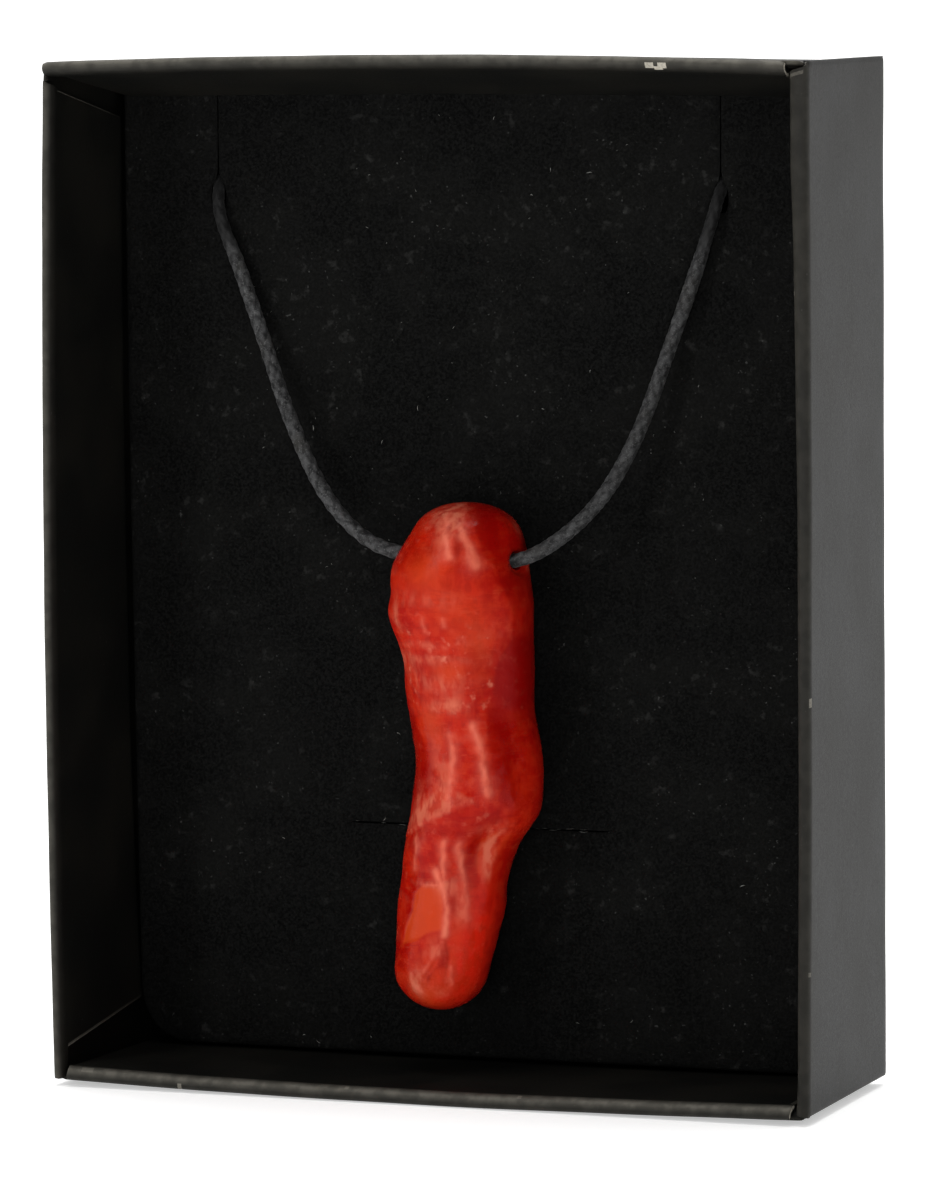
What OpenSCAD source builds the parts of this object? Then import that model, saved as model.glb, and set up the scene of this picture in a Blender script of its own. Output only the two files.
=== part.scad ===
// Long red pendant on a waxed cord, shown on a flocked pad in an open folded-card box.
// Millimetres. The box stands on its lower wall, its open side towards -Y.

/* [Box] */
// Outside width of the box
box_w = 70; // [70:1:80]
// Outside height of the box
box_h = 90; // [90:1:100]
// Depth of the box, from its open front to its back
box_d = 24; // [24:0.5:30]
// Thickness of the outer layer of each wall
wall_t = 0.7; // [0.6:0.1:0.9]
// Thickness of the flap that is folded back inside each wall
flap_t = 0.6; // [0.5:0.1:0.7]
// Depth of the folded flap, from the rim inwards
flap_d = 15.4; // [12:0.2:16]
// Thickness of the back panel
back_t = 1.2; // [0.8:0.1:1.2]

/* [Pad] */
// Distance from the rim down to the pad's face
pad_recess = 14.5; // [13:0.5:14.5]
// Thickness of the pad
pad_t = 5.5; // [5:0.1:5.6]
// Clearance between the pad and the flaps around it
pad_gap = 0.3; // [0.2:0.1:0.5]
// Width of a closed slit
slit_w = 0.4; // [0.2:0.1:0.6]
// Width of the place where the cord holds a slit open
slit_open_w = 1.8; // [1.7:0.1:2.2]
// Length of the level slit behind the pendant
level_slit_l = 24.6; // [20:0.2:30]
// Height of the level slit above the box's underside
level_slit_z = 22.5; // [20:0.5:24]

/* [Pendant] */
// Length of the pendant
pendant_l = 45; // [44:0.5:45]
// Height of the pendant's lower end above the box's underside
pendant_z = 7; // [6.5:0.5:8]
// Diameter of the cross bore that the cord runs through
bore_d = 2.2; // [2.1:0.1:2.4]

/* [Cord] */
// Diameter of the waxed cord
cord_d = 1.3; // [1:0.1:1.4]
// Diameter of the clasp
clasp_d = 2.4; // [2:0.1:2.4]
// Length of the clasp
clasp_l = 11; // [8:0.5:14]

/* [Hidden] */

// Rim: the fold that joins a wall and its flap, rounded over its whole thickness
fold_t = wall_t + flap_t;
fold_r = fold_t / 2;
front_y = -box_d / 2;
fold_y = front_y + fold_r;
fold_steps = 8;

// Pad
pad_y = front_y + pad_recess;
pad_w = box_w - 2 * (fold_t + pad_gap);
pad_h = box_h - 2 * (fold_t + pad_gap);
pad_z = fold_t + pad_gap;
slit_left_x = -24.4;
slit_right_x = 22.7;
slit_open_low = 76.5;
slit_open_high = 81.3;
// How far a cutting shape runs past the surface that it cuts
cut_over = 1;

// How far each flap's ends stop short of the box's outer corners: at the rim and at the flap's free edge
side_flap_cut = [2.3, 5];
level_flap_cut = [fold_t, 2];

// Pendant: its sections, one row each section_pitch of its length from the lower end upwards.
// Columns: centre x, centre y from the pad's face, half width, half depth.
section_pitch = 3;
section_length = 45;
sections = [
    [-2.00, -4.6, 4.20, 3.8],
    [-2.00, -4.5, 4.25, 3.9],
    [-1.60, -4.6, 4.60, 4.1],
    [-1.05, -4.8, 4.95, 4.3],
    [-0.55, -5.0, 4.90, 4.4],
    [ 0.15, -5.3, 5.40, 4.7],
    [ 1.50, -5.5, 5.95, 5.0],
    [ 1.85, -5.5, 5.85, 5.0],
    [ 1.75, -5.5, 5.80, 4.9],
    [ 1.25, -5.5, 5.75, 4.9],
    [ 1.10, -5.6, 5.95, 5.1],
    [ 0.80, -5.7, 6.20, 5.3],
    [ 0.55, -5.9, 6.60, 5.6],
    [ 0.60, -5.9, 6.20, 5.4],
    [ 1.05, -5.8, 5.85, 5.0],
    [ 1.25, -5.7, 6.30, 4.9]
];
// Hollows and swellings of the polished surface.
// Columns: height, angle from +X towards the front, reach along the length, reach in degrees, rise.
dents = [
    [40.0,  12, 2.2, 22, -0.45],
    [30.5,  48, 4.5, 20, -0.55],
    [21.0,   5, 3.0, 30,  0.20],
    [17.2, 100, 1.5, 35,  0.25],
    [14.5,  50, 3.0, 20, -0.60],
    [26.0, 150, 4.0, 30, -0.25],
    [ 9.5, 125, 3.5, 24, -0.30],
    [ 2.6, 120, 1.2, 18, -0.30],
    [20.0, 250, 5.0, 30, -0.30],
    [33.0, 285, 4.0, 25, -0.30]
];
lower_cap = 3.7;
upper_cap = 6;
lower_power = 2;
upper_power = 2.2;
mean_radius = 5.4;
pendant_rings = 34;
pendant_sides = 28;
// Two points on the bore's axis: x, y from the pad's face, z
bore_left = [-4.6, -5.3, 47.3];
bore_right = [5.4, -6.3, 47];
bore_l = 24;

// Cord and clasp behind the pad: their distance from the pad's face, the clasp's height, and the
// space that is left between the clasp and each end of the cord
hidden_y = 6.9;
clasp_z = 86;
clasp_seat = 0.05;
// Half of the cord's hidden run, from the pad's slit to the clasp: x on that side, y from the pad's face, z
hidden_run = [
    [16, hidden_y, 21],
    [23.5, hidden_y, 13.5],
    [31, hidden_y, 21],
    [31, hidden_y, 78],
    [28.7, hidden_y, 83.7],
    [23, hidden_y, clasp_z],
    [clasp_l / 2 + clasp_seat, hidden_y, clasp_z]
];
// The arc over the slit's lower end: y from the pad's face, z
slit_arc = [[0.4, 79.2], [3.1, 80.3], [5.8, 79.2], [hidden_y, 76.5]];
// The strands that show, from the left slit to the right one: x, y from the pad's face, z
front_run = [
    [-23.8, -0.8, 76.5],
    [-22, -1, 72.1],
    [-19.5, -1.5, 65.7],
    [-16.6, -2.5, 58.7],
    [-12.9, -3.7, 52.3],
    [-8.8, -4.7, 48.6],
    bore_left,
    bore_right,
    [9.2, -5.7, 48.6],
    [13, -4.1, 52.4],
    [15.9, -2.7, 57.9],
    [18.6, -1.5, 65.7],
    [20.9, -1, 72.4],
    [22.2, -0.8, 76.5]
];
cord_sides = 8;
steps_per_point = 2;

function reversed(list) = [for (i = [len(list) - 1:-1:0]) list[i]];

function behind_pad(slit_x, side) = concat(
    [for (p = slit_arc) [slit_x, p[0], p[1]]],
    [for (p = hidden_run) [side * p[0], p[1], p[2]]]
);

cord_route = [
    for (p = concat(reversed(behind_pad(slit_left_x, -1)), front_run, behind_pad(slit_right_x, 1)))
    [p[0], p[1] + pad_y, p[2]]
];

// A smooth value between table rows, which are one unit of place apart
function between(a, b, c, d, t) =
    b + 0.5 * t * (c - a + t * (2 * a - 5 * b + 4 * c - d + t * (3 * (b - c) + d - a)));

function section_at(place) =
    let (last = len(sections) - 1, i = min(floor(place), last - 1))
    between(sections[max(i - 1, 0)], sections[i], sections[i + 1], sections[min(i + 2, last)], place - i);

function dome(depth, reach, power) =
    depth >= reach ? 1 : pow(1 - pow(1 - depth / reach, power), 1 / power);

function turn_between(a, b) = abs(((a - b + 540) % 360) - 180);

function rise_at(height, angle) = [
    for (d = dents)
    d[4] * exp(-pow((height - d[0]) / d[2], 2) - pow(turn_between(angle, d[1]) / d[3], 2))
] * [for (d = dents) 1];

function pendant_point(height, angle) =
    let (
        s = section_at(height / section_pitch),
        cap = dome(height, lower_cap, lower_power) * dome(section_length - height, upper_cap, upper_power),
        reach = cap * (1 + rise_at(height, angle) / mean_radius)
    )
    [
        s[0] + reach * s[2] * cos(angle),
        pad_y + s[1] - reach * s[3] * sin(angle),
        pendant_z + height * pendant_l / section_length
    ];

// Heights of the rings, closer together towards both ends
function ring_height(i) = section_length * (0.5 - 0.5 * cos(180 * i / pendant_rings));

// Skin of a tube of closed rings, with a flat or pointed end on each side
function tube_faces(rings, sides) = concat(
    [for (r = [0:rings - 2], k = [0:sides - 1])
        [r * sides + k, r * sides + (k + 1) % sides, (r + 1) * sides + k]],
    [for (r = [0:rings - 2], k = [0:sides - 1])
        [r * sides + (k + 1) % sides, (r + 1) * sides + (k + 1) % sides, (r + 1) * sides + k]]
);

function unit(v) = v / norm(v);

function across(v, along) = unit(v - (v * along) * along);

// Directions at the route's points, and a smooth curve through them
function heading(route, i) = unit(route[min(i + 1, len(route) - 1)] - route[max(i - 1, 0)]);

function curve_point(route, i, t) =
    let (h = norm(route[i + 1] - route[i]))
    (2 * pow(t, 3) - 3 * pow(t, 2) + 1) * route[i]
    + (pow(t, 3) - 2 * pow(t, 2) + t) * h * heading(route, i)
    + (3 * pow(t, 2) - 2 * pow(t, 3)) * route[i + 1]
    + (pow(t, 3) - pow(t, 2)) * h * heading(route, i + 1);

function smooth_route(route, steps) = concat(
    [for (i = [0:len(route) - 2], j = [0:steps - 1]) curve_point(route, i, j / steps)],
    [route[len(route) - 1]]
);

// The side direction of each ring, carried along the route without twisting
function carried_sides(path, first) = [
    for (i = 0, v = across(first, heading(path, 0)); i < len(path);
        i = i + 1, v = across(v, heading(path, min(i, len(path) - 1)))) v
];

module swept_tube(path, d, sides) {
    n = len(path);
    side = carried_sides(path, [0, 1, 0]);
    points = [
        for (i = [0:n - 1], k = [0:sides - 1])
        let (other = cross(heading(path, i), side[i]), a = 360 * k / sides)
        path[i] + d / 2 * (cos(a) * side[i] + sin(a) * other)
    ];
    first_end = [for (k = [sides - 1:-1:0]) k];
    last_end = [for (k = [0:sides - 1]) (n - 1) * sides + k];
    polyhedron(points, concat(tube_faces(n, sides), [first_end, last_end]));
}

module pendant_body() {
    rings = pendant_rings - 1;
    n = rings * pendant_sides;
    low = pendant_point(0, 0);
    high = pendant_point(section_length, 0);
    points = concat(
        [for (i = [1:rings], k = [0:pendant_sides - 1])
            pendant_point(ring_height(i), -360 * k / pendant_sides)],
        [low, high]
    );
    low_end = [for (k = [0:pendant_sides - 1]) [n, (k + 1) % pendant_sides, k]];
    high_end = [
        for (k = [0:pendant_sides - 1])
        [n + 1, n - pendant_sides + k, n - pendant_sides + (k + 1) % pendant_sides]
    ];
    polyhedron(points, concat(tube_faces(rings, pendant_sides), low_end, high_end));
}

module pendant_bore() {
    axis = bore_right - bore_left;
    middle = (bore_left + bore_right) / 2 + [0, pad_y, 0];
    translate(middle)
    rotate([0, acos(axis[2] / norm(axis)), atan2(axis[1], axis[0])])
    cylinder(h = bore_l, d = bore_d, center = true, $fn = 48);
}

module pendant() {
    color("firebrick")
    difference() {
        pendant_body();
        pendant_bore();
    }
}

module cord() {
    color([0.16, 0.16, 0.17])
    swept_tube(smooth_route(cord_route, steps_per_point), cord_d, cord_sides);
}

module clasp() {
    color("silver")
    translate([0, pad_y + hidden_y, clasp_z])
    rotate([0, 90, 0])
    cylinder(h = clasp_l, d = clasp_d, center = true, $fn = 48);
}

module slit(x) {
    translate([x - slit_w / 2, pad_y - cut_over, slit_open_high - cut_over])
    cube([slit_w, pad_t + 2 * cut_over, box_h]);
    translate([x - slit_open_w / 2, pad_y - cut_over, slit_open_low])
    cube([slit_open_w, pad_t + 2 * cut_over, slit_open_high - slit_open_low]);
}

module pad() {
    color([0.06, 0.06, 0.06])
    difference() {
        translate([-pad_w / 2, pad_y, pad_z])
        cube([pad_w, pad_t, pad_h]);
        slit(slit_left_x);
        slit(slit_right_x);
        translate([-level_slit_l / 2, pad_y - cut_over, level_slit_z])
        cube([level_slit_l, pad_t + 2 * cut_over, slit_w]);
    }
}

// One wall in its own place: its outside at z = 0, its length along x, the box's inside above it
module wall(length, cut) {
    translate([-length / 2, fold_y, 0])
    cube([length, box_d - fold_r, wall_t]);
    translate([0, 0, wall_t])
    linear_extrude(flap_t)
    polygon([
        [-length / 2 + cut[0], fold_y],
        [length / 2 - cut[0], fold_y],
        [length / 2 - cut[1], front_y + flap_d],
        [-length / 2 + cut[1], front_y + flap_d]
    ]);
    rim(length);
}

// The rounded fold at a wall's front edge, mitred at both ends
module rim(length) {
    arc = [for (i = [0:fold_steps]) fold_r * [cos(180 * i / fold_steps), sin(180 * i / fold_steps)]];
    intersection() {
        translate([-length / 2, fold_y, fold_r])
        rotate([90, 0, 90])
        mirror([1, 0, 0])
        linear_extrude(length)
        polygon([for (p = arc) [p[1], p[0]]]);
        translate([0, fold_y + cut_over, 0])
        rotate([90, 0, 0])
        linear_extrude(fold_r + 2 * cut_over)
        polygon([
            [-length / 2, 0],
            [length / 2, 0],
            [length / 2 - 2 * fold_t, 2 * fold_t],
            [-length / 2 + 2 * fold_t, 2 * fold_t]
        ]);
    }
}

module box_tray() {
    color([0.2, 0.2, 0.2]) {
        translate([-box_w / 2, box_d / 2 - back_t, 0])
        cube([box_w, back_t, box_h]);
        wall(box_w, level_flap_cut);
        translate([0, 0, box_h])
        rotate([0, 180, 0])
        wall(box_w, level_flap_cut);
        translate([-box_w / 2, 0, box_h / 2])
        rotate([0, 90, 0])
        wall(box_h, side_flap_cut);
        translate([box_w / 2, 0, box_h / 2])
        rotate([0, -90, 0])
        wall(box_h, side_flap_cut);
    }
}

pendant();
cord();
clasp();
pad();
box_tray();
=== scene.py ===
import math
import random

import bmesh
import bpy
import numpy as np
from mathutils import Matrix, noise


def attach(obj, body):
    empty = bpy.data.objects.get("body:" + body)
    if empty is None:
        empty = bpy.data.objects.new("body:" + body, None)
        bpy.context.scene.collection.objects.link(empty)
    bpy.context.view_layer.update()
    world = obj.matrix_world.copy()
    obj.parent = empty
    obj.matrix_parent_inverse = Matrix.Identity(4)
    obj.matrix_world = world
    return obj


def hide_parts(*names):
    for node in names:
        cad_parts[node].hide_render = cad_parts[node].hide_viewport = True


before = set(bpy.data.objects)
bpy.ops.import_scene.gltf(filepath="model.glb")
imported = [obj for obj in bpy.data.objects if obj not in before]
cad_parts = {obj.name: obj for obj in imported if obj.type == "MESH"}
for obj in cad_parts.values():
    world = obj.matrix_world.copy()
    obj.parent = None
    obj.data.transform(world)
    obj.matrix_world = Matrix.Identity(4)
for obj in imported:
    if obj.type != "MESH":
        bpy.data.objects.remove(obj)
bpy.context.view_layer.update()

# Lengths in this script are in millimetres, heights start at the floor, and the open side of the box
# is towards -Y. MM turns them into the metres of the scene.
MM = 0.001

# Surroundings: how strongly the room in front of the object shines, between which Y of the direction it
# turns into the bright backdrop, and half the floor's width
ROOM_LIGHT = 0.03
BACKDROP_TURN = (-0.25, 0.35)
FLOOR_HALF = 20000.0

# Camera: its place, and its turns in degrees
LENS_MM = 204.58
SENSOR_MM = 36.0
CAMERA_AT = (210.53, -558.10, 100.19)
CAMERA_YAW = 20.700
CAMERA_PITCH = -5.466
CAMERA_ROLL = 0.461

# Box: half the width of its lower and upper wall, how far out its side walls stand at their lower and
# upper end, the heights of its underside and top, and its front and back
BOX_X = 34.85
LEFT_WALL_X = (34.93, 35.12)
RIGHT_WALL_X = (34.76, 34.71)
BOX_LOW = 0.5
BOX_HIGH = 90.5
# Height of the upper wall's back edge at its left and right end
HIGH_WALL_Z = (90.32, 90.18)
BOX_FRONT = -11.83
BOX_BACK = 11.83
# Back panel: its thickness, its left and right edge, its lower and upper edge
BACK_T = 1.2
BACK_X = (-34.6, 34.25)
BACK_Z = (BOX_LOW + 0.5, BOX_HIGH - 0.5)
# Radius of the fold between a wall and the back
BACK_FOLD_R = 0.5
# Depth of the flaps, and how far the left one's free edge leans inwards at its lower end
FLAP_DEPTH = 14.2
LEFT_FLAP_LEAN = 0.9
# Distance between the rows of points along a wall, the share at each end where they lie closer, and how
# far the ends' edges are rounded
WALL_STEP = 0.4
END_SHARE = 0.02
END_ROUND = 0.4
LEFT, RIGHT, LOW, HIGH = "left", "right", "low", "high"
# Thickness of each wall's card
CARD_T = {LEFT: 0.50, RIGHT: 0.65, LOW: 0.65, HIGH: 0.65}
# Where each wall's flap ends, and how far that end droops
FLAP_END_Y = {LEFT: 3.4, RIGHT: 3.4, LOW: 3.4, HIGH: 2.1}
FLAP_DROOP = {LEFT: 0.0, RIGHT: 0.0, LOW: 0.0, HIGH: 1.9}
# How far each wall's front edge stands outwards of its back edge: at its lower or left end, at its other
# end, and how much more in its middle
SPREAD = {
    LEFT: (0.34, 0.0, 0.46),
    RIGHT: (0.32, 0.51, 0.17),
    LOW: (0.0, 0.0, 0.50),
    HIGH: (0.18, 0.32, 0.62),
}
# The rim's fold: where its crest lies, how far its outer and inner half reach back, and its thickness
# along the wall (share of the length, thickness)
FOLD_T = 1.3
FOLD_CREST = 0.45
FOLD_OUTER_Y = 0.75
FOLD_INNER_Y = {LEFT: 1.15, RIGHT: 1.0, LOW: 1.0, HIGH: 1.3}
FOLD_ALONG = {
    LEFT: [(0, 1.00), (1, 1.05)],
    RIGHT: [(0, 1.35), (0.03, 1.22), (0.5, 1.30), (0.83, 1.60), (0.91, 1.80), (1, 1.80)],
    LOW: [(0, 1.30), (1, 1.30)],
    HIGH: [(0, 1.30), (1, 1.30)],
}
# Wear and painted sheen across the fold, from the wall's side (0) to the flap's side (1); the lighter colour
# stands partly for rubbed card and partly for the light that the rims catch
WEAR_AND_SHEEN = {
    LEFT: [(0, 0.14), (0.2, 0.34), (0.45, 0.42), (0.6, 0.28), (0.75, 0.06), (1, 0)],
    RIGHT: [(0, 0.05), (0.2, 0.15), (0.55, 0.09), (0.8, 0.20), (0.9, 0.12), (1, 0)],
    LOW: [(0, 0.08), (0.5, 0.16), (0.6, 0.40), (0.72, 1.00), (0.82, 0.6), (1, 0)],
    HIGH: [(0, 0.85), (0.2, 1.00), (0.38, 0.75), (0.5, 0.42), (0.62, 0.16), (0.8, 0.04), (1, 0)],
}
# How far each band stops short of the box's corners: the plain wall at the back and at the front, the
# fold's outer and inner side, and the flap's root and free edge. First at the lower or left end
ENDS = {
    LEFT: ((0.0, 0.0, 0.05, 0.35, 2.9, 5.4), (0.70, 0.70, 1.50, 2.1, 2.5, 5.2)),
    RIGHT: ((0.3, 0.3, 0.2, 0.5, 2.5, 4.9), (0.0, 0.0, 0.05, 1.0, 2.7, 5.6)),
    LOW: ((0.42, 0.22, 0.95, 0.92, 1.3, 2.1), (0.72, 0.42, 1.65, 1.40, 1.8, 2.6)),
    HIGH: ((-0.25, -0.25, -0.22, -0.05, 1.4, 2.2), (0.77, 0.30, 1.80, 1.65, 2.0, 2.9)),
}
# How pale the cut edge of the flap and fold is at each end
CUT_PALE = {LEFT: (0.50, 0.18), RIGHT: (0.5, 0.30), LOW: (0.8, 1.0), HIGH: (0.3, 1.0)}
# Width of that pale line
CUT_EDGE = 0.30
# Chips and nicks in the rims: wall, distance along it, length, shares of the fold, how pale
CHIPS = [
    (HIGH, 57.3, 0.6, 0.47, 0.66, 0.90), (HIGH, 57.9, 0.8, 0.58, 0.71, 1.00),
    (HIGH, 58.5, 0.6, 0.47, 0.62, 1.00), (HIGH, 33.0, 0.4, 0.06, 0.19, 0.20),
    (LOW, 11.0, 0.4, 0.05, 0.55, 0.40), (LOW, 1.6, 1.6, 0.62, 0.85, 0.18),
    (LOW, 44.0, 0.5, 0.68, 0.82, 0.18), (LOW, 27.2, 0.4, 0.68, 0.82, 0.20),
    (RIGHT, 35.5, 0.5, 0.06, 0.25, 0.40), (RIGHT, 12.3, 0.4, 0.06, 0.25, 0.20),
    (RIGHT, 71.0, 0.4, 0.75, 0.88, 0.20), (RIGHT, 89.2, 0.7, 0.40, 0.85, 0.16),
    (LEFT, 52.0, 0.4, 0.10, 0.25, 0.15), (LEFT, 21.0, 0.4, 0.10, 0.25, 0.12),
]
# Pale line of the cut at both ends of the left flap: row of faces along the wall, how pale
LEFT_FLAP_CUTS = ((0, 0.5), (1, 0.2), (-1, 0.2))

# Pad
PAD_X = 33.4
PAD_LOW = 2.0
PAD_HIGH = 88.4
PAD_FACE = 2.5
PAD_BACK = 8.0
PAD_STEP = 0.7
PAD_EDGE = 0.5
# How far its left edge leans inwards towards the bottom, and the radius of its lower left corner
PAD_LEAN = 0.75
PAD_CORNER = 5.0
SLITS_X = (-24.4, 22.7)
SLIT_LOW = 76.5
SLIT_HALF_OPEN = 0.85
# Half the opening of a slit in the pad's face: height, half width
SLIT_MOUTH = [
    (76.4, 0.02), (77.0, 0.40), (77.5, 0.58), (78.0, 0.70), (78.7, 0.70), (79.2, 0.60), (79.7, 0.32),
    (80.1, 0.10), (81.0, 0.06), (88.4, 0.06),
]
# Heights between which a slit shuts again above the cord, going down
SLIT_SHUTS = (82.6, 81.2)
# How far under the face a slit has its full opening, and how far to its sides the foam gives way
SLIT_UNDER = 0.7
SLIT_REACH = 1.3
LEVEL_SLIT_Z = 22.7
LEVEL_SLIT_X = 12.3
LEVEL_SLIT_HALF = 0.07

# Pendant: a row each 3 mm of its length from its lower end: the middle's x and its distance from the
# pad's face, half the width, half the depth
PENDANT_LOW = 7.0
PENDANT_LENGTH = 45.0
SECTION_PITCH = 3.0
SECTIONS = np.array([
    [-2.00, -4.6, 4.20, 3.8],
    [-2.00, -4.5, 4.25, 3.9],
    [-1.60, -4.6, 4.60, 4.1],
    [-1.05, -4.8, 4.95, 4.3],
    [-0.55, -5.0, 4.90, 4.4],
    [0.15, -5.3, 5.40, 4.7],
    [1.50, -5.5, 5.95, 5.0],
    [1.85, -5.5, 5.85, 5.0],
    [1.75, -5.5, 5.80, 4.9],
    [1.25, -5.5, 5.75, 4.9],
    [1.10, -5.6, 5.95, 5.1],
    [0.80, -5.7, 6.20, 5.3],
    [0.55, -5.9, 6.60, 5.6],
    [0.60, -5.9, 6.20, 5.4],
    [1.05, -5.8, 5.85, 5.0],
    [1.25, -5.7, 6.30, 4.9],
])
# Hollows and swellings: height, angle from +X towards the front, reach along the length, reach in
# degrees, rise
DENTS = [
    (40.0, 12, 2.2, 22, -0.45),
    (30.5, 48, 4.5, 20, -0.55),
    (21.0, 5, 3.0, 30, 0.20),
    (17.2, 100, 1.5, 35, 0.25),
    (14.5, 50, 3.0, 20, -0.60),
    (26.0, 150, 4.0, 30, -0.25),
    (9.5, 125, 3.5, 24, -0.30),
    (2.6, 120, 1.2, 18, -0.30),
    (20.0, 250, 5.0, 30, -0.30),
    (33.0, 285, 4.0, 25, -0.30),
    (22.6, 32, 4.0, 22, -0.50),
    (42.0, 42, 2.6, 20, -0.35),
    (42.5, 159, 1.5, 40, -0.25),
    (37.0, 159, 1.3, 40, -0.34),
    (31.4, 159, 2.2, 40, -0.34),
    (22.0, 159, 2.0, 40, -0.22),
    (16.0, 159, 3.8, 40, -0.52),
    (7.5, 159, 4.0, 40, -0.28),
]
# The rounded lower and upper end: length, power of the curve
LOWER_CAP = (3.7, 2.0)
UPPER_CAP = (6.0, 2.2)
MEAN_RADIUS = 5.4
ARC_PER_DEGREE = MEAN_RADIUS * math.pi / 180
PENDANT_RINGS = 300
PENDANT_SIDES = 232
# How much the rings crowd towards both ends
RING_CROWDING = 0.35
BORE_LEFT = (-4.6, -5.3, 47.3)
BORE_RIGHT = (5.4, -6.3, 47.0)
BORE_R = 0.86
BORE_SIDES = 36
# The bore follows the cord where it lies this near to this x, and below this height
BORE_REACH = 8.6
BORE_X = 0.4
BORE_TOP = 51
# How deep the surface sinks round the bore's mouths, and over which distance
MOUTH_SINK = 0.30
MOUTH_REACH = 0.35
# Tiny pits: how many, and the bands of height that hold them, as middle and half width
PIT_COUNT = 150
PIT_BANDS = [(30.5, 3.4), (44.0, 1.0), (18.0, 1.6), (3.0, 1.6), (22.0, 13.0)]
# Uneven surface: amount, size of the lumps, seed
PENDANT_LUMPS = ((0.07, 3.1, 1), (0.03, 1.1, 2), (0.012, 0.45, 3))

# Cord and clasp
CORD_D = 1.3
CLASP_D = 2.4
CLASP_LENGTH = 11.0
CLASP_Z = 86.0
CLASP_SIDES = 40
# Gap between the clasp and each end of the cord
CLASP_SEAT = 0.05
HIDDEN_DEPTH = 6.9
# Half of the hidden run behind the pad: x on that side, distance behind the pad's face, height
HIDDEN_RUN = [
    (16, HIDDEN_DEPTH, 21),
    (23.5, HIDDEN_DEPTH, 13.5),
    (31, HIDDEN_DEPTH, 21),
    (31, HIDDEN_DEPTH, 78),
    (28.7, HIDDEN_DEPTH, 83.7),
    (23, HIDDEN_DEPTH, CLASP_Z),
    (CLASP_LENGTH / 2 + CLASP_SEAT, HIDDEN_DEPTH, CLASP_Z),
]
# The cord's way through a slit: distance behind the pad's face, height
SLIT_ARC = [(0.4, 79.2), (3.1, 80.3), (5.8, 79.2), (HIDDEN_DEPTH, 76.5)]
# The cord in front of the pad: x, distance from the pad's face (negative is in front of it), height
FRONT_RUN = [
    (-23.8, -0.8, 76.5),
    (-22, -1, 72.1),
    (-19.5, -1.5, 65.7),
    (-16.6, -2.5, 58.7),
    (-12.9, -3.7, 52.3),
    (-8.8, -4.7, 48.6),
    BORE_LEFT,
    BORE_RIGHT,
    (9.2, -5.7, 48.6),
    (13, -4.1, 52.4),
    (15.9, -2.7, 57.9),
    (18.6, -1.5, 65.7),
    (20.9, -1, 72.4),
    (22.2, -0.8, 76.5),
]
CORD_SIDES = 32
CORD_STEP_SHOWN = 0.16
CORD_STEP_HIDDEN = 0.5
# The cord is drawn in full detail in front of this Y
SHOWN_BEFORE_Y = PAD_FACE + 1.5
BRAID_CELLS = 4
BRAID_PITCH = 1.5
# The cord's slow swellings: amount, millimetres for each radian, start in radians
LUMPS = ((0.02, 3.1, 0), (0.015, 1.3, 1))
# Heights between which painted shade darkens the cord as it sinks into its slit
SHADED_CORD = (71.6, 75.6)
# How much painted shade darkens its right half, and the x over which that comes in
RIGHT_DIM = 0.24
RIGHT_DIM_X = (3, 8)

# Meshes

def add_object(name, data):
    thing = bpy.data.objects.new(name, data)
    bpy.context.scene.collection.objects.link(thing)
    return thing


def new_mesh(name, points, faces):
    """A mesh from points in millimetres."""
    mesh = bpy.data.meshes.new(name)
    mesh.from_pydata((np.asarray(points, float) * MM).tolist(), [], faces)
    mesh.update()
    return mesh


def add_piece(name, points, faces, material, slot):
    """Makes a smooth piece from points in millimetres and puts it on the object's one body."""
    mesh = new_mesh(name, points, faces)
    mesh.materials.append(material)
    mesh.shade_smooth()
    piece = add_object(name, mesh)
    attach(piece, "root")
    return piece


def merge_doubles(mesh):
    """Joins points that lie on each other and drops the faces that this leaves without area."""
    bmesh.ops.remove_doubles(mesh, verts=mesh.verts, dist=0.0005 * MM)
    bmesh.ops.recalc_face_normals(mesh, faces=mesh.faces)


def drop_loose_points(mesh):
    bmesh.ops.delete(mesh, geom=[v for v in mesh.verts if not v.link_faces], context="VERTS")


def mend(piece, change):
    """Runs one of the two changes above on a piece's mesh."""
    mesh = bmesh.new()
    mesh.from_mesh(piece.data)
    change(mesh)
    mesh.to_mesh(piece.data)
    mesh.free()
    piece.data.shade_smooth()


def sharpen(piece, degrees):
    """Shades the edges sharp that turn by more than the given angle."""
    piece.data.set_sharp_from_angle(angle=math.radians(degrees))


def paint(piece, name, values, domain="POINT"):
    """Stores one number per point or face, for the material to read."""
    layer = piece.data.attributes.new(name, "FLOAT", domain)
    layer.data.foreach_set("value", np.asarray(values, np.float32))


def grid_faces(rows, columns, closed=False):
    """Faces between the points of a grid, whose last column may join the first."""
    faces = []
    for r in range(rows - 1):
        for c in range(columns if closed else columns - 1):
            d = (c + 1) % columns
            low, high = r * columns, (r + 1) * columns
            faces.append((low + c, low + d, high + d, high + c))
    return faces


def tube_faces(rings, sides):
    last = (rings - 1) * sides
    ends = [tuple(range(sides))[::-1], tuple(range(last, last + sides))]
    return grid_faces(rings, sides, closed=True) + ends


def as_points(x, y, z):
    """Points from grids of coordinates, any of which may be a single number."""
    return np.stack(np.broadcast_arrays(x, y, z), axis=-1).reshape(-1, 3)


def ring_turns(sides):
    return np.linspace(0, 2 * math.pi, sides, endpoint=False)


def smoothstep(low, high, value):
    t = np.clip((value - low) / (high - low), 0, 1)
    return t * t * (3 - 2 * t)


def window(rise, fall, value):
    """0, then 1 between the ranges over which it rises and falls, then 0 again."""
    return smoothstep(*rise, value) * smoothstep(*fall, value)


def between(pair, share):
    return pair[0] + (pair[1] - pair[0]) * share


def look_up(table, value):
    """The second column of a table, at a value of its first."""
    return np.interp(value, *zip(*table))


def noise_at(points, size, seed):
    """Smooth noise from -1 to 1 whose bumps are about size millimetres across."""
    shift = 31.7 * seed
    return np.array([noise.noise((x / size + shift, y / size, z / size)) for x, y, z in points])


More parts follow.
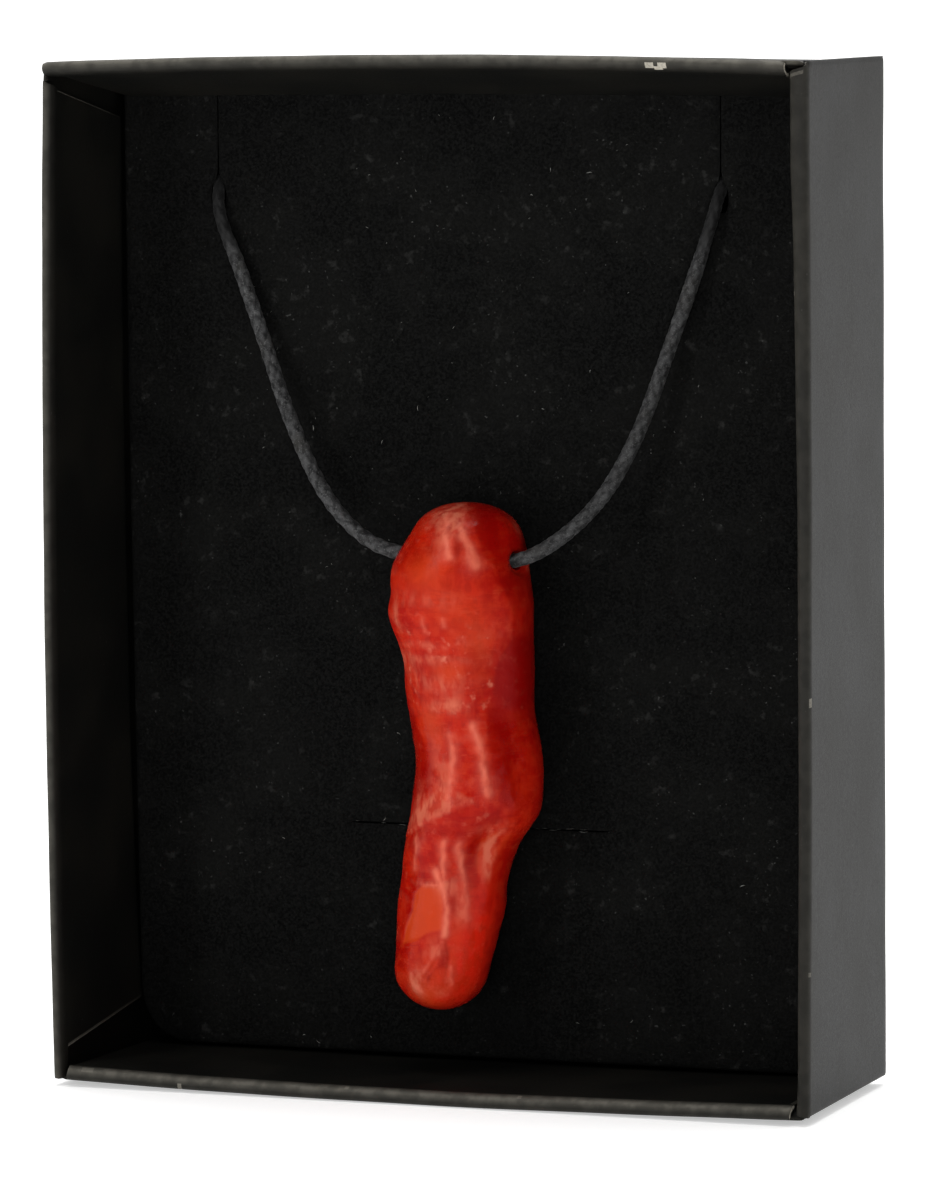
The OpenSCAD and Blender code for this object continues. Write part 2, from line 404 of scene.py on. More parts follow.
# Materials

def colour(red, green, blue):
    return (red, green, blue, 1.0)


def set_range(node, low, high, first, last):
    for socket, number in zip(("From Min", "From Max", "To Min", "To Max"), (low, high, first, last)):
        node.inputs[socket].default_value = number


class Shader:
    """A new material with short calls for the nodes that are used here."""

    def __init__(self, name, **settings):
        self.material = bpy.data.materials.new(name)
        self.material.use_nodes = True
        self.nodes = self.material.node_tree.nodes
        self.links = self.material.node_tree.links
        self.surface = self.nodes["Principled BSDF"]
        self.place = self.nodes.new("ShaderNodeTexCoord").outputs["Object"]
        for socket, value in settings.items():
            self.surface.inputs[socket.replace("_", " ")].default_value = value

    def put(self, value, socket):
        """Links an output to a socket, or sets the socket to a plain value."""
        if isinstance(value, bpy.types.NodeSocket):
            self.links.new(value, socket)
        elif value is not None:
            socket.default_value = value

    def feed(self, socket, value):
        self.put(value, self.surface.inputs[socket])

    def stretched(self, scale):
        node = self.nodes.new("ShaderNodeMapping")
        node.inputs["Scale"].default_value = scale
        self.put(self.place, node.inputs["Vector"])
        return node.outputs["Vector"]

    def noise(self, size, detail=3.0, roughness=0.55, place=None):
        """Noise whose bumps are about size millimetres across."""
        node = self.nodes.new("ShaderNodeTexNoise")
        node.inputs["Scale"].default_value = 1 / (size * MM)
        node.inputs["Detail"].default_value = detail
        node.inputs["Roughness"].default_value = roughness
        self.put(place or self.place, node.inputs["Vector"])
        return node.outputs["Fac"]

    def painted(self, name):
        node = self.nodes.new("ShaderNodeAttribute")
        node.attribute_name = name
        return node.outputs["Fac"]

    def ramp(self, value, low, high, first=0.0, last=1.0):
        """Runs smoothly from first to last as the value goes from low to high."""
        node = self.nodes.new("ShaderNodeMapRange")
        node.interpolation_type = "SMOOTHSTEP"
        self.put(value, node.inputs["Value"])
        set_range(node, low, high, first, last)
        return node.outputs["Result"]

    def calc(self, kind, first, second):
        node = self.nodes.new("ShaderNodeMath")
        node.operation = kind
        self.put(first, node.inputs[0])
        self.put(second, node.inputs[1])
        return node.outputs[0]

    def times(self, first, second):
        return self.calc("MULTIPLY", first, second)

    def layers(self, base, rows):
        """Lays colours over the base, one after the other.

        A row is a value, the two numbers between which its colour comes in, its largest share and
        the colour."""
        for value, low, high, most, tint in rows:
            base = self.mix(self.ramp(value, low, high, 0.0, most), base, colour(*tint))
        return base

    def mix(self, factor, first, second):
        """Colour that goes from first to second with the factor."""
        node = self.nodes.new("ShaderNodeMix")
        node.data_type = "RGBA"
        self.put(factor, node.inputs[0])
        self.put(first, node.inputs[6])
        self.put(second, node.inputs[7])
        return node.outputs[2]

    def bump(self, height, depth, after=None, strength=1.0):
        """Small relief, depth millimetres deep."""
        node = self.nodes.new("ShaderNodeBump")
        node.inputs["Strength"].default_value = strength
        node.inputs["Distance"].default_value = depth * MM
        self.put(height, node.inputs["Height"])
        self.put(after, node.inputs["Normal"])
        return node.outputs["Normal"]


def coral_material():
    """Polished red coral: orange-red, with dark, bright and pale patches that are painted on the mesh;
    besides the coral's own colour they hold painted shade on the flanks, painted glow and painted highlights.
    """
    s = Shader("polished_coral", IOR=1.5, Specular_IOR_Level=0.08)
    cloud = s.noise(2.8, detail=3, roughness=0.55)
    blotch = s.noise(1.1, detail=3, roughness=0.5)
    speckle = s.noise(0.42, detail=4, roughness=0.6)
    mottle = s.noise(0.75, detail=2, roughness=0.5, place=s.stretched((1.0, 1.0, 0.55)))
    spots = s.noise(0.80, detail=2, roughness=0.5)
    strands = s.noise(0.45, detail=4, roughness=0.6, place=s.stretched((1.0, 1.0, 0.22)))
    growth = s.noise(0.45, detail=3, roughness=0.6, place=s.stretched((0.22, 0.22, 1.0)))
    grain = s.noise(0.15, detail=3)
    base = s.mix(s.ramp(cloud, 0.38, 0.62), colour(0.370, 0.0040, 0.0014), colour(0.475, 0.0115, 0.0024))
    base = s.layers(base, [
        (blotch, 0.48, 0.66, 0.60, (0.49, 0.0235, 0.0065)),
        (blotch, 0.48, 0.34, 0.60, (0.30, 0.0030, 0.0015)),
        (strands, 0.52, 0.72, 0.30, (0.51, 0.0300, 0.0100)),
        (strands, 0.46, 0.30, 0.35, (0.28, 0.0025, 0.0015)),
        (growth, 0.46, 0.30, 0.55, (0.33, 0.0035, 0.0022)),
        (growth, 0.56, 0.70, 0.35, (0.53, 0.0450, 0.0180)),
    ])
    base = s.mix(s.painted("orange"), base, colour(0.57, 0.048, 0.0088))
    # Bright red: the coral's own saturated red, and painted glow on the shaded right side
    bright_red_and_glow = s.times(s.painted("bright_red_and_glow"), s.ramp(mottle, 0.36, 0.62, 0.55, 1.0))
    base = s.mix(bright_red_and_glow, base, colour(0.70, 0.0170, 0.0055))
    # Deep red: the coral's own dark patches, and painted shade on its flanks, in its hollows and on its
    # underside
    base = s.mix(s.painted("deep_red_and_shade"), base, colour(0.245, 0.0013, 0.0008))
    # Pale: the coral's own pale patches, with a few painted highlights and sheen among them
    pale_and_sheen = s.times(s.painted("pale"), s.ramp(mottle, 0.36, 0.62, 0.25, 1.0))
    base = s.mix(pale_and_sheen, base, colour(0.61, 0.132, 0.075))
    flecks = s.times(s.ramp(spots, 0.54, 0.80), s.ramp(cloud, 0.40, 0.62))
    base = s.mix(s.times(flecks, s.painted("rough")), base, colour(0.62, 0.140, 0.085))
    # Painted highlights: pale streaks along the ridges
    glint = s.times(s.painted("painted_highlight"), s.ramp(mottle, 0.30, 0.50, 0.65, 1.0))
    s.feed("Base Color", s.mix(glint, base, colour(0.76, 0.160, 0.096)))
    s.feed("Roughness", s.calc("ADD", s.painted("dullness"), s.ramp(speckle, 0.4, 0.7, -0.03, 0.10)))
    relief = s.bump(speckle, 0.05, strength=0.35)
    relief = s.bump(strands, 0.05, after=relief, strength=0.25)
    s.feed("Normal", s.bump(grain, 0.010, after=relief, strength=0.5))
    return s.material


def cord_material():
    """Waxed cotton: charcoal yarns with a dull shine and a little dust, with painted shade in the grooves
    between the yarns, where the cord sinks into its slits and on its right half.
    """
    s = Shader("waxed_cotton", IOR=1.45, Specular_IOR_Level=0.26, Sheen_Weight=0.04, Sheen_Roughness=0.5)
    fibres = s.noise(0.16, detail=4, roughness=0.7)
    worn = s.noise(0.75, detail=3, roughness=0.6)
    blotch = s.noise(2.6, detail=3)
    # Painted shade in the grooves between the yarns, and the yarns' own colour on their crowns
    base = s.mix(s.painted("crown_and_groove_shade"), colour(0.003, 0.003, 0.0033), colour(0.052, 0.052, 0.053))
    base = s.layers(base, [
        (worn, 0.46, 0.64, 0.50, (0.085, 0.085, 0.086)),
        (worn, 0.46, 0.34, 0.60, (0.007, 0.007, 0.007)),
        (blotch, 0.50, 0.75, 0.60, (0.026, 0.024, 0.020)),
        (fibres, 0.52, 0.66, 0.50, (0.17, 0.17, 0.17)),
    ])
    s.feed("Base Color", s.mix(s.painted("shaded"), base, colour(0.004, 0.004, 0.004)))
    s.feed("Roughness", s.ramp(fibres, 0.3, 0.7, 0.50, 0.72))
    s.feed("Normal", s.bump(fibres, 0.05, strength=0.9))
    return s.material


def metal_material():
    s = Shader("brushed_clasp", Metallic=1.0)
    lines = s.noise(0.08, detail=2, place=s.stretched((0.05, 1.0, 1.0)))
    s.feed("Base Color", s.mix(s.ramp(lines, 0.3, 0.7), colour(0.50, 0.49, 0.47), colour(0.66, 0.65, 0.63)))
    s.feed("Roughness", s.ramp(lines, 0.3, 0.7, 0.28, 0.42))
    s.feed("Normal", s.bump(lines, 0.004))
    return s.material


def flock_material():
    """Black flocking: it swallows light, with a fine pile and specks of dust."""
    s = Shader("black_flock", Roughness=1.0, Specular_IOR_Level=0.03)
    pile = s.noise(0.22, detail=4, roughness=0.7)
    patches = s.noise(7.0, detail=3)
    dust = s.noise(0.34, detail=1)
    base = s.mix(s.ramp(pile, 0.35, 0.68), colour(0.0022, 0.0022, 0.0022), colour(0.0080, 0.0081, 0.0078))
    base = s.layers(base, [(patches, 0.35, 0.70, 0.45, (0.0088, 0.0088, 0.0082))])
    smears = s.noise(1.3, detail=4, roughness=0.65)
    faint = s.times(s.ramp(smears, 0.56, 0.72), s.ramp(patches, 0.4, 0.6))
    base = s.mix(faint, base, colour(0.020, 0.020, 0.019))
    dusty = s.times(s.ramp(dust, 0.72, 0.80), s.ramp(patches, 0.42, 0.62, 0.1, 0.8))
    s.feed("Base Color", s.mix(dusty, base, colour(0.055, 0.055, 0.053)))
    s.feed("Normal", s.bump(pile, 0.12, strength=0.8))
    return s.material


def card_material():
    """Black card: fine paper grain, lighter along its folds from wear and painted sheen, and pale where it is
    cut.
    """
    s = Shader("black_card", IOR=1.46, Specular_IOR_Level=0.09)
    grain = s.noise(0.18, detail=4, roughness=0.65)
    fibres = s.noise(1.1, detail=3, roughness=0.5)
    stains = s.noise(9.0, detail=4)
    dust = s.noise(0.4, detail=1)
    base = s.mix(s.ramp(stains, 0.35, 0.7), colour(0.0058, 0.0058, 0.0052), colour(0.0100, 0.0094, 0.0078))
    # Lighter along the folds: wear, and painted sheen where the rims catch the light
    worn = s.times(s.painted("worn"), s.ramp(fibres, 0.35, 0.65, 0.6, 1.0))
    base = s.mix(worn, base, colour(0.150, 0.141, 0.119))
    base = s.layers(base, [(dust, 0.76, 0.82, 0.50, (0.07, 0.07, 0.065))])
    bare = s.times(s.painted("bare"), s.ramp(grain, 0.25, 0.6, 0.55, 1.0))
    s.feed("Base Color", s.mix(bare, base, colour(0.42, 0.39, 0.33)))
    rough = s.calc("ADD", s.ramp(stains, 0.3, 0.7, 0.39, 0.43), s.ramp(grain, 0.3, 0.7, 0.0, 0.08))
    s.feed("Roughness", rough)
    relief = s.bump(grain, 0.02, strength=0.6)
    s.feed("Normal", s.bump(fibres, 0.03, after=relief, strength=0.4))
    return s.material


def lint_material():
    s = Shader("lint", Roughness=0.8)
    shade = s.noise(0.6, detail=2)
    s.feed("Base Color", s.mix(s.ramp(shade, 0.3, 0.7), colour(0.10, 0.10, 0.09), colour(0.32, 0.32, 0.30)))
    return s.material


def floor_material():
    s = Shader("pale_floor", Roughness=0.8, Emission_Color=colour(1.0, 1.0, 1.0), Emission_Strength=0.45)
    cloud = s.noise(180.0, detail=2)
    s.feed("Base Color", s.mix(cloud, colour(0.86, 0.86, 0.855), colour(0.90, 0.90, 0.895)))
    s.feed("Normal", s.bump(s.noise(1.5, detail=2), 0.01, strength=0.2))
    return s.material


# Camera, light and floor

def rotation(degrees, axis):
    return Matrix.Rotation(math.radians(degrees), 4, axis)


def make_camera():
    data = bpy.data.cameras.new("camera")
    data.lens = LENS_MM
    data.sensor_width = SENSOR_MM
    camera = add_object("camera", data)
    upright = rotation(90, "X")
    turn = rotation(CAMERA_YAW, "Z") @ rotation(CAMERA_PITCH, "X") @ rotation(CAMERA_ROLL, "Y") @ upright
    camera.matrix_world = Matrix.Translation([v * MM for v in CAMERA_AT]) @ turn
    bpy.context.scene.camera = camera


def make_strip(name, azimuth, distance, width, height, middle_z, power):
    """An upright soft light that faces the object, in metres and watts.

    Azimuth is in degrees right of the front."""
    data = bpy.data.lights.new(name, "AREA")
    data.shape = "RECTANGLE"
    data.size = width
    data.size_y = height
    data.energy = power
    lamp = add_object(name, data)
    away = Matrix.Translation((0, -distance, middle_z))
    lamp.matrix_world = rotation(azimuth, "Z") @ away @ rotation(90, "X")


def make_overhead():
    """Soft light from straight above, which lights the floor and hardly reaches into the box."""
    data = bpy.data.lights.new("overhead", "SUN")
    data.angle = math.radians(40)
    data.energy = 2.0
    add_object("overhead", data)


def make_world():
    """A white backdrop behind the object and a dimmer room in front of it."""
    world = bpy.data.worlds.new("light_tent")
    world.use_nodes = True
    nodes, links = world.node_tree.nodes, world.node_tree.links
    direction = nodes.new("ShaderNodeTexCoord")
    split = nodes.new("ShaderNodeSeparateXYZ")
    links.new(direction.outputs["Generated"], split.inputs[0])
    shade = nodes.new("ShaderNodeMapRange")
    shade.interpolation_type = "SMOOTHSTEP"
    set_range(shade, *BACKDROP_TURN, ROOM_LIGHT, 1.0)
    links.new(split.outputs["Y"], shade.inputs["Value"])
    nodes["Background"].inputs["Color"].default_value = colour(1.0, 1.0, 1.0)
    links.new(shade.outputs["Result"], nodes["Background"].inputs["Strength"])
    bpy.context.scene.world = world
    bpy.context.scene.view_settings.view_transform = "Standard"


def make_floor():
    half = FLOOR_HALF
    corners = [(-half, -half, 0), (half, -half, 0), (half, half, 0), (-half, half, 0)]
    mesh = new_mesh("floor", corners, [(0, 1, 2, 3)])
    mesh.materials.append(floor_material())
    add_object("floor", mesh)


# Cord

def behind_pad(slit_x, side):
    """The route from a slit to the clasp, side -1 for the left and 1 for the right."""
    arc = [(slit_x, y, z) for y, z in SLIT_ARC]
    return arc + [(side * x, y, z) for x, y, z in HIDDEN_RUN]


def cord_route():
    """The route's points, from one end of the clasp through both slits and the bore to the other."""
    left = behind_pad(SLITS_X[0], -1)[::-1]
    route = np.array(left + FRONT_RUN + behind_pad(SLITS_X[1], 1), float)
    return route + [0, PAD_FACE, 0]


def unit(vectors):
    return vectors / np.linalg.norm(vectors, axis=-1, keepdims=True)


def smooth_route(route, steps):
    """Points on a smooth curve through the route."""
    ahead = np.vstack([route[1:], route[-1:]])
    behind = np.vstack([route[:1], route[:-1]])
    heading = unit(ahead - behind)
    spans = []
    t = np.linspace(0, 1, steps, endpoint=False)[:, None]
    for a, b, turn_a, turn_b in zip(route[:-1], route[1:], heading[:-1], heading[1:]):
        reach = np.linalg.norm(b - a)
        start = (2 * t**3 - 3 * t**2 + 1) * a + (t**3 - 2 * t**2 + t) * reach * turn_a
        spans.append(start + (3 * t**2 - 2 * t**3) * b + (t**3 - t**2) * reach * turn_b)
    return np.vstack(spans + [route[-1:]])


def cord_path():
    """The cord's middle line, in small steps where it shows and larger ones behind the pad."""
    fine = smooth_route(cord_route(), 60)
    along = np.concatenate([[0], np.cumsum(np.linalg.norm(np.diff(fine, axis=0), axis=1))])
    shown = along[fine[:, 1] < SHOWN_BEFORE_Y]
    first, last = shown[0], shown[-1]
    stops = np.concatenate([
        np.arange(0, first, CORD_STEP_HIDDEN),
        np.arange(first, last, CORD_STEP_SHOWN),
        np.arange(last, along[-1], CORD_STEP_HIDDEN),
        [along[-1]],
    ])
    path = np.stack([np.interp(stops, along, fine[:, k]) for k in range(3)], axis=1)
    return path, stops


def carried_sides(path):
    """Two cross directions at each point of a path, carried along without twisting."""
    along = unit(np.gradient(path, axis=0))
    side = np.zeros_like(path)
    last = np.array([0.0, 1.0, 0.0])
    for i, direction in enumerate(along):
        last = unit(last - direction * last.dot(direction))
        side[i] = last
    return side, np.cross(along, side)


def braid_relief(stops, turn):
    """From 0 in the grooves to 1 on the crowns of a round braid's yarns."""
    around = turn[None, :] * BRAID_CELLS / (2 * math.pi)
    along = stops[:, None] / BRAID_PITCH
    u = around + along
    v = around - along
    over = (np.floor(u) + np.floor(v)) % 2 == 0
    across = np.where(over, v % 1, u % 1)
    run = np.where(over, u % 1, v % 1)
    return np.sin(math.pi * across) ** 0.6 * (0.5 + 0.5 * np.sin(math.pi * run))


def tube(path, radius):
    """Points and faces of a round tube with flat ends. The radius has a row for each point of the path
    and a column for each side."""
    rows, sides = radius.shape
    side, other = carried_sides(path)
    turn = ring_turns(sides)[None, :, None]
    ring = np.cos(turn) * side[:, None] + np.sin(turn) * other[:, None]
    points = (path[:, None] + radius[..., None] * ring).reshape(-1, 3)
    return points, tube_faces(rows, sides)


def make_cord():
    """Makes the cord and returns its piece, its middle line and its length."""
    path, stops = cord_path()
    relief = braid_relief(stops, ring_turns(CORD_SIDES))
    lumps = sum(amount * np.sin(stops / length + start) for amount, length, start in LUMPS)
    shaded = smoothstep(*SHADED_CORD, path[:, 2])
    dim = RIGHT_DIM * smoothstep(*RIGHT_DIM_X, path[:, 0])
    radius = CORD_D / 2 * (0.83 + 0.19 * relief + (lumps - 0.15 * shaded)[:, None])
    piece = add_piece("necklace_cord", *tube(path, radius), cord_material(), "waxed_cord")
    # Painted shade in the braid's grooves, falling off towards the crowns
    paint(piece, "crown_and_groove_shade", relief.ravel() ** 1.6)
    in_front = path[:, 1] < SHOWN_BEFORE_Y
    # Painted shade where the cord sinks into its slits and on its right half
    paint(piece, "shaded", np.repeat(np.maximum(0.9 * shaded, dim) * in_front, CORD_SIDES))
    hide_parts("cord")
    return piece, path, stops[-1]


def make_clasp():
    """A plain barrel with rounded ends and a bead at each end, turned about its own axis."""
    half = CLASP_LENGTH / 2
    radius = CLASP_D / 2
    profile = [
        (0.0, 0.0), (0.0, 0.5), (0.06, 0.8), (0.2, 0.93), (0.45, 1.0), (0.7, 1.0), (0.9, 0.93), (1.0, 0.86),
        (1.15, 0.86), (1.3, 0.93), (1.6, 0.99), (2.2, 1.0), (half - 0.1, 1.0), (half, 0.99),
    ]
    profile += [(CLASP_LENGTH - x, r) for x, r in profile[-2::-1]]
    x, r = np.array(profile).T[:, :, None]
    turn = ring_turns(CLASP_SIDES)
    y = PAD_FACE + HIDDEN_DEPTH + r * radius * np.cos(turn)
    points = as_points(x - half, y, CLASP_Z + r * radius * np.sin(turn))
    faces = grid_faces(len(profile), CLASP_SIDES, closed=True)
    piece = add_piece("barrel_clasp", points, faces, metal_material(), "clasp_metal")
    mend(piece, merge_doubles)
    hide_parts("clasp")
    return piece


# Pendant

# Ridges that catch the light, each with a painted highlight along it: how pale that painted highlight is,
# half the width, and a line of heights and angles
RIDGES_AND_PAINTED_HIGHLIGHTS = [
    (0.95, 0.34, [(43.9, 101), (42.6, 94), (41.2, 87), (40.7, 85)]),
    (0.95, 0.36, [(43.0, 79), (41.6, 69), (39.9, 60)]),
    (0.62, 0.28, [(25.0, 93), (23.8, 93), (22.8, 94), (21.4, 96), (19.6, 98)]),
    (0.80, 0.33, [(25.9, 71), (24.5, 69.5), (22.9, 68), (21.2, 65), (20.0, 62.5)]),
    (0.72, 0.28, [(15.6, 90), (14.0, 86), (11.8, 81)]),
    (0.70, 0.30, [(15.4, 75), (13.6, 67), (11.8, 60)]),
    (1.00, 0.27, [(13.0, 92.5), (12.2, 87), (11.2, 81), (10.0, 77), (8.1, 74.5), (7.2, 74)]),
    (0.45, 0.22, [(6.6, 75), (5.6, 77.5)]),
    (0.45, 0.18, [(15.8, 123), (14.4, 120), (13.0, 121)]),
    (0.32, 0.18, [(6.3, 79), (5.4, 84), (4.6, 88), (3.9, 93)]),
    (0.45, 0.20, [(4.3, 62), (3.4, 60), (2.8, 57)]),
    (0.50, 0.36, [(11.5, 60), (9.9, 57), (8.6, 54)]),
    (0.55, 0.12, [(11.6, 106), (11.7, 84)]),
    (0.40, 0.16, [(35.3, 104), (34.2, 104)]),
    (0.35, 0.14, [(35.3, 86), (34.6, 86)]),
    (0.60, 0.24, [(3.5, 112), (2.8, 114), (2.3, 108), (2.1, 100)]),
]
# Edge between the lit front and the right flank, beyond which shade is painted in the deep colour: height,
# angle
SHADE_EDGE = [
    (0, 34), (1.2, 26), (3, 18), (6, 22), (8.5, 30), (10.5, 38), (12, 36), (15.5, 26), (17.5, 30),
    (19.4, 51), (21.2, 56), (23.4, 60), (25.1, 62), (28.2, 51), (30.8, 43), (32.1, 36), (33.3, 30),
    (35.1, 28), (36.9, 30), (39.5, 40), (40.4, 52), (42.9, 63), (45, 76),
]
# How dark the painted shade on the flank beyond that edge is along the length: height, amount
FLANK_SHADE = [
    (0, 0.35), (5, 0.25), (10, 0.30), (14, 0.25), (17, 0.35), (20, 0.55), (24, 0.75), (28, 0.90),
    (45, 0.95),
]
# Share of the deep colour in everything that is painted deep, which is the coral's own dark red and painted
# shade
DEEP_STRENGTH = 0.68
# How high the streaks' ridges stand for their width, the clefts' depth and half width, the facet's depth
# and the collar's height, and how far down the collar tapers
RIDGE_RISE = 0.20
CLEFT_DEPTH = 0.10
CLEFT_REACH = 0.16
FACET_DEPTH = 0.08
COLLAR_RISE = 0.13
COLLAR_TAPER = 1.6
# Flat facet near the lower end
FACET = [
    (11.6, 107), (11.6, 84), (9.9, 80), (7.8, 78), (7.4, 91), (6.6, 108), (6.2, 130), (7.6, 128),
    (9.2, 119), (10.8, 118),
]
# Areas with a plain edge: what they are painted with, amount, blur of the edge, outline. Many deep areas are
# painted shade on the flanks and under the collar, and the deep area with a negative amount lightens that
# shade as painted glow.
AREAS = [
    ("orange", 0.90, 0.45, FACET),
    ("deep_red_and_shade", 0.35, 0.6, [(11.2, 130), (11.2, 118), (9.2, 118), (7.6, 127), (7.0, 140), (9.0, 140)]),
    ("deep_red_and_shade", 0.24, 0.5, [
        (16.2, 133), (17.4, 111), (18.5, 90), (19.2, 75), (18.4, 57), (17.2, 48), (15.6, 60), (15.7, 79),
        (15.4, 111)]),
    ("pale", 0.50, 0.5, [
        (15.8, 152), (17.2, 152), (18.6, 128), (19.8, 112), (20.6, 104), (20.2, 92), (19.6, 76), (19.2, 74),
        (18.5, 90), (17.4, 111), (16.2, 133)]),
    ("deep_red_and_shade", 0.45, 1.4, [
        (27.4, 56), (27.6, 36), (24.2, 35), (21.2, 40), (18.9, 46), (19.9, 55), (22.1, 60), (24.0, 64)]),
    ("deep_red_and_shade", 0.70, 1.4, [
        (33.6, 42), (33.8, 18), (32.6, -8), (28.0, -8), (27.0, 20), (28.0, 44), (30.0, 50), (31.8, 46)]),
    ("deep_red_and_shade", -0.12, 2.2, [
        (25.6, 20), (25.8, -30), (16.0, -30), (16.2, 20), (18.2, 36), (21.4, 38), (23.8, 32)]),
    ("deep_red_and_shade", 0.85, 1.0, [(27.0, 140), (23.6, 124), (20.0, 120), (18.8, 132), (18.4, 170), (27.0, 170)]),
    ("orange", 0.45, 0.5, [(15.8, 54), (16.5, 41), (14.3, 30), (11.8, 30), (12.4, 41), (13.4, 50)]),
    ("pale", 0.30, 0.5, [(15.4, 48), (16.2, 40), (14.3, 31), (12.0, 31), (13.0, 38)]),
    ("deep_red_and_shade", 0.60, 0.4, [
        (15.2, 66), (16.3, 58), (15.5, 52), (13.0, 46), (11.4, 44), (11.2, 52), (12.8, 58)]),
    ("deep_red_and_shade", 0.40, 0.5, [(11.2, 73), (11.2, 67), (9.0, 64), (8.6, 71)]),
    ("deep_red_and_shade", 0.50, 0.4, [(6.0, 77), (6.2, 67), (4.2, 62), (4.3, 75), (3.4, 90), (2.8, 88), (4.4, 78)]),
    ("deep_red_and_shade", 0.45, 0.8, [(44.4, 78), (44.6, 30), (41.0, 34), (41.4, 52), (43.4, 70)]),
    ("deep_red_and_shade", 0.55, 0.3, [(42.6, 86), (42.7, 80), (41.2, 74), (40.4, 76), (41.4, 83)]),
]
# Lower edge of the collar round the middle: angle, height
COLLAR = [
    (50, 19.2), (71, 19.6), (84, 19.0), (94, 18.4), (105, 18.0), (117, 17.3), (129, 16.5), (160, 15.5),
]
# Fine clefts near the lower end
CLEFTS = [
    [(6.5, 70), (6.35, 70), (5.2, 65), (3.6, 65)],
    [(6.0, 76), (5.0, 78), (3.9, 86), (3.2, 93)],
]
# Larger pits: height, angle, radius, depth
PITS = [
    (3.3, 95, 0.30, 0.12), (3.0, 85, 0.35, 0.14), (3.3, 76.5, 0.25, 0.10), (2.6, 99, 0.30, 0.12),
    (10.0, 70, 0.35, 0.08), (9.0, 72, 0.25, 0.06),
    (43.1, 80, 0.30, 0.10), (43.3, 92, 0.30, 0.10), (44.1, 84, 0.25, 0.08), (43.9, 99, 0.25, 0.08),
]
# Painted patches: height, angle, reach along the length, reach round it (both in millimetres), amount
# Pale patches: the coral's own pale spots, with a few painted highlights and sheen, such as the strip on the
# left bulge and the sheen at the right end near the bore
PALE_AND_SHEEN_PATCHES = [
    (44.3, 104, 0.9, 2.6, 0.95), (43.4, 92, 1.0, 1.2, 0.80), (42.3, 95, 1.5, 1.0, 0.45),
    (37.0, 112, 0.60, 3.4, 0.20), (35.4, 135, 1.3, 0.5, 0.65), (32.9, 100, 0.35, 3.2, 0.45),
    (31.6, 105, 0.45, 3.4, 0.50), (31.2, 149, 0.8, 1.2, 0.60), (29.4, 93, 0.6, 1.6, 0.55),
    (27.6, 96, 0.6, 1.4, 0.65), (27.9, 85, 0.9, 0.8, 0.50), (30.0, 120, 1.2, 1.8, 0.32),
    (21.8, 104, 2.4, 1.2, 0.50), (19.3, 136, 1.3, 0.8, 0.45), (18.9, 115, 0.9, 1.4, 0.35),
    (17.8, 126, 1.0, 0.9, 0.35), (16.8, 45, 0.7, 1.3, 0.30), (43.0, -3, 0.8, 0.8, 0.35),
    (39.4, -14, 0.4, 0.5, 0.45),
    (15.2, 43, 1.4, 0.8, 0.55), (13.2, 36, 1.2, 0.6, 0.55), (15.2, 120, 1.6, 0.7, 0.35),
    (11.7, 100, 0.3, 1.5, 0.60), (11.6, 76, 0.9, 1.2, 0.60), (9.6, 62, 1.5, 0.5, 0.50),
    (6.0, 84, 1.0, 0.9, 0.40), (3.6, 100, 0.9, 0.6, 0.55), (2.4, 107, 0.8, 1.2, 0.95),
    (3.3, 63, 0.9, 0.4, 0.45), (2.0, 72, 0.5, 1.2, 0.45), (2.9, 110, 0.35, 0.8, 0.90),
    (33.5, 85, 2.5, 3.0, 0.05),
]
# Orange patches: the coral's own orange, and the broad patch low on the right side, which brightens it as
# painted glow
ORANGE_AND_GLOW_PATCHES = [
    (4.2, 50, 3.4, 3.0, 0.40), (2.4, 90, 2.2, 2.8, 0.50),
    (39.3, 103, 1.8, 2.2, 0.60),
    (36.0, 75, 2.0, 2.6, 0.35), (30.6, 88, 1.0, 1.6, 0.55), (26.0, 112, 1.8, 1.2, 0.60),
    (33.0, 60, 2.0, 1.4, 0.40), (1.3, 84, 0.8, 2.2, 0.60), (7.4, 60, 2.6, 0.7, 0.35),
    (20.0, 26, 1.6, 1.6, 0.30), (14.8, 28, 1.8, 0.5, 0.35),
]
# Bright patches: saturated red, partly the coral's own and partly painted glow on its right side
BRIGHT_AND_GLOW_PATCHES = [
    (4.8, 34, 4.6, 3.8, 1.00), (10.0, 30, 3.0, 1.4, 0.60), (1.2, 70, 1.0, 2.6, 0.5),
    (20.0, 8, 3.0, 2.0, 0.30), (41.6, 85, 1.6, 0.5, 0.60), (14.0, 40, 2.0, 1.0, 0.25),
]
# Deep patches: the coral's own dark red, and painted shade in hollows and on the underside
DEEP_RED_AND_SHADE_PATCHES = [
    (22.8, 82, 3.4, 0.55, 0.16), (23.0, 118, 3.0, 0.5, 0.60), (41.4, 78, 1.2, 0.35, 0.60),
    (14.2, 79, 2.0, 0.35, 0.50), (16.6, 100, 0.5, 3.0, 0.35), (17.4, 72, 1.4, 1.6, 0.45),
    (15.8, 62, 2.0, 0.4, 0.45), (12.4, 113, 0.6, 1.6, 0.55), (4.9, 72, 1.0, 0.5, 0.50),
    (34.6, 118, 0.5, 2.8, 0.35), (29.2, 64, 1.4, 1.6, 0.35), (3.5, 88, 0.7, 0.8, 0.45),
    (10.2, 70, 0.7, 0.5, 0.45), (40.5, 133, 2.6, 0.7, 0.45), (0.0, 85, 0.7, 6.0, 0.60),
]
# How dull the polish is along the length: height, roughness
DULLNESS = [
    (0, 0.32), (2, 0.26), (6, 0.20), (12, 0.17), (15.6, 0.17), (16.6, 0.30), (18.6, 0.36), (19.8, 0.20),
    (25.2, 0.18), (26.6, 0.42), (33, 0.50), (38.6, 0.44), (40.2, 0.22), (43.4, 0.22), (45, 0.34),
]


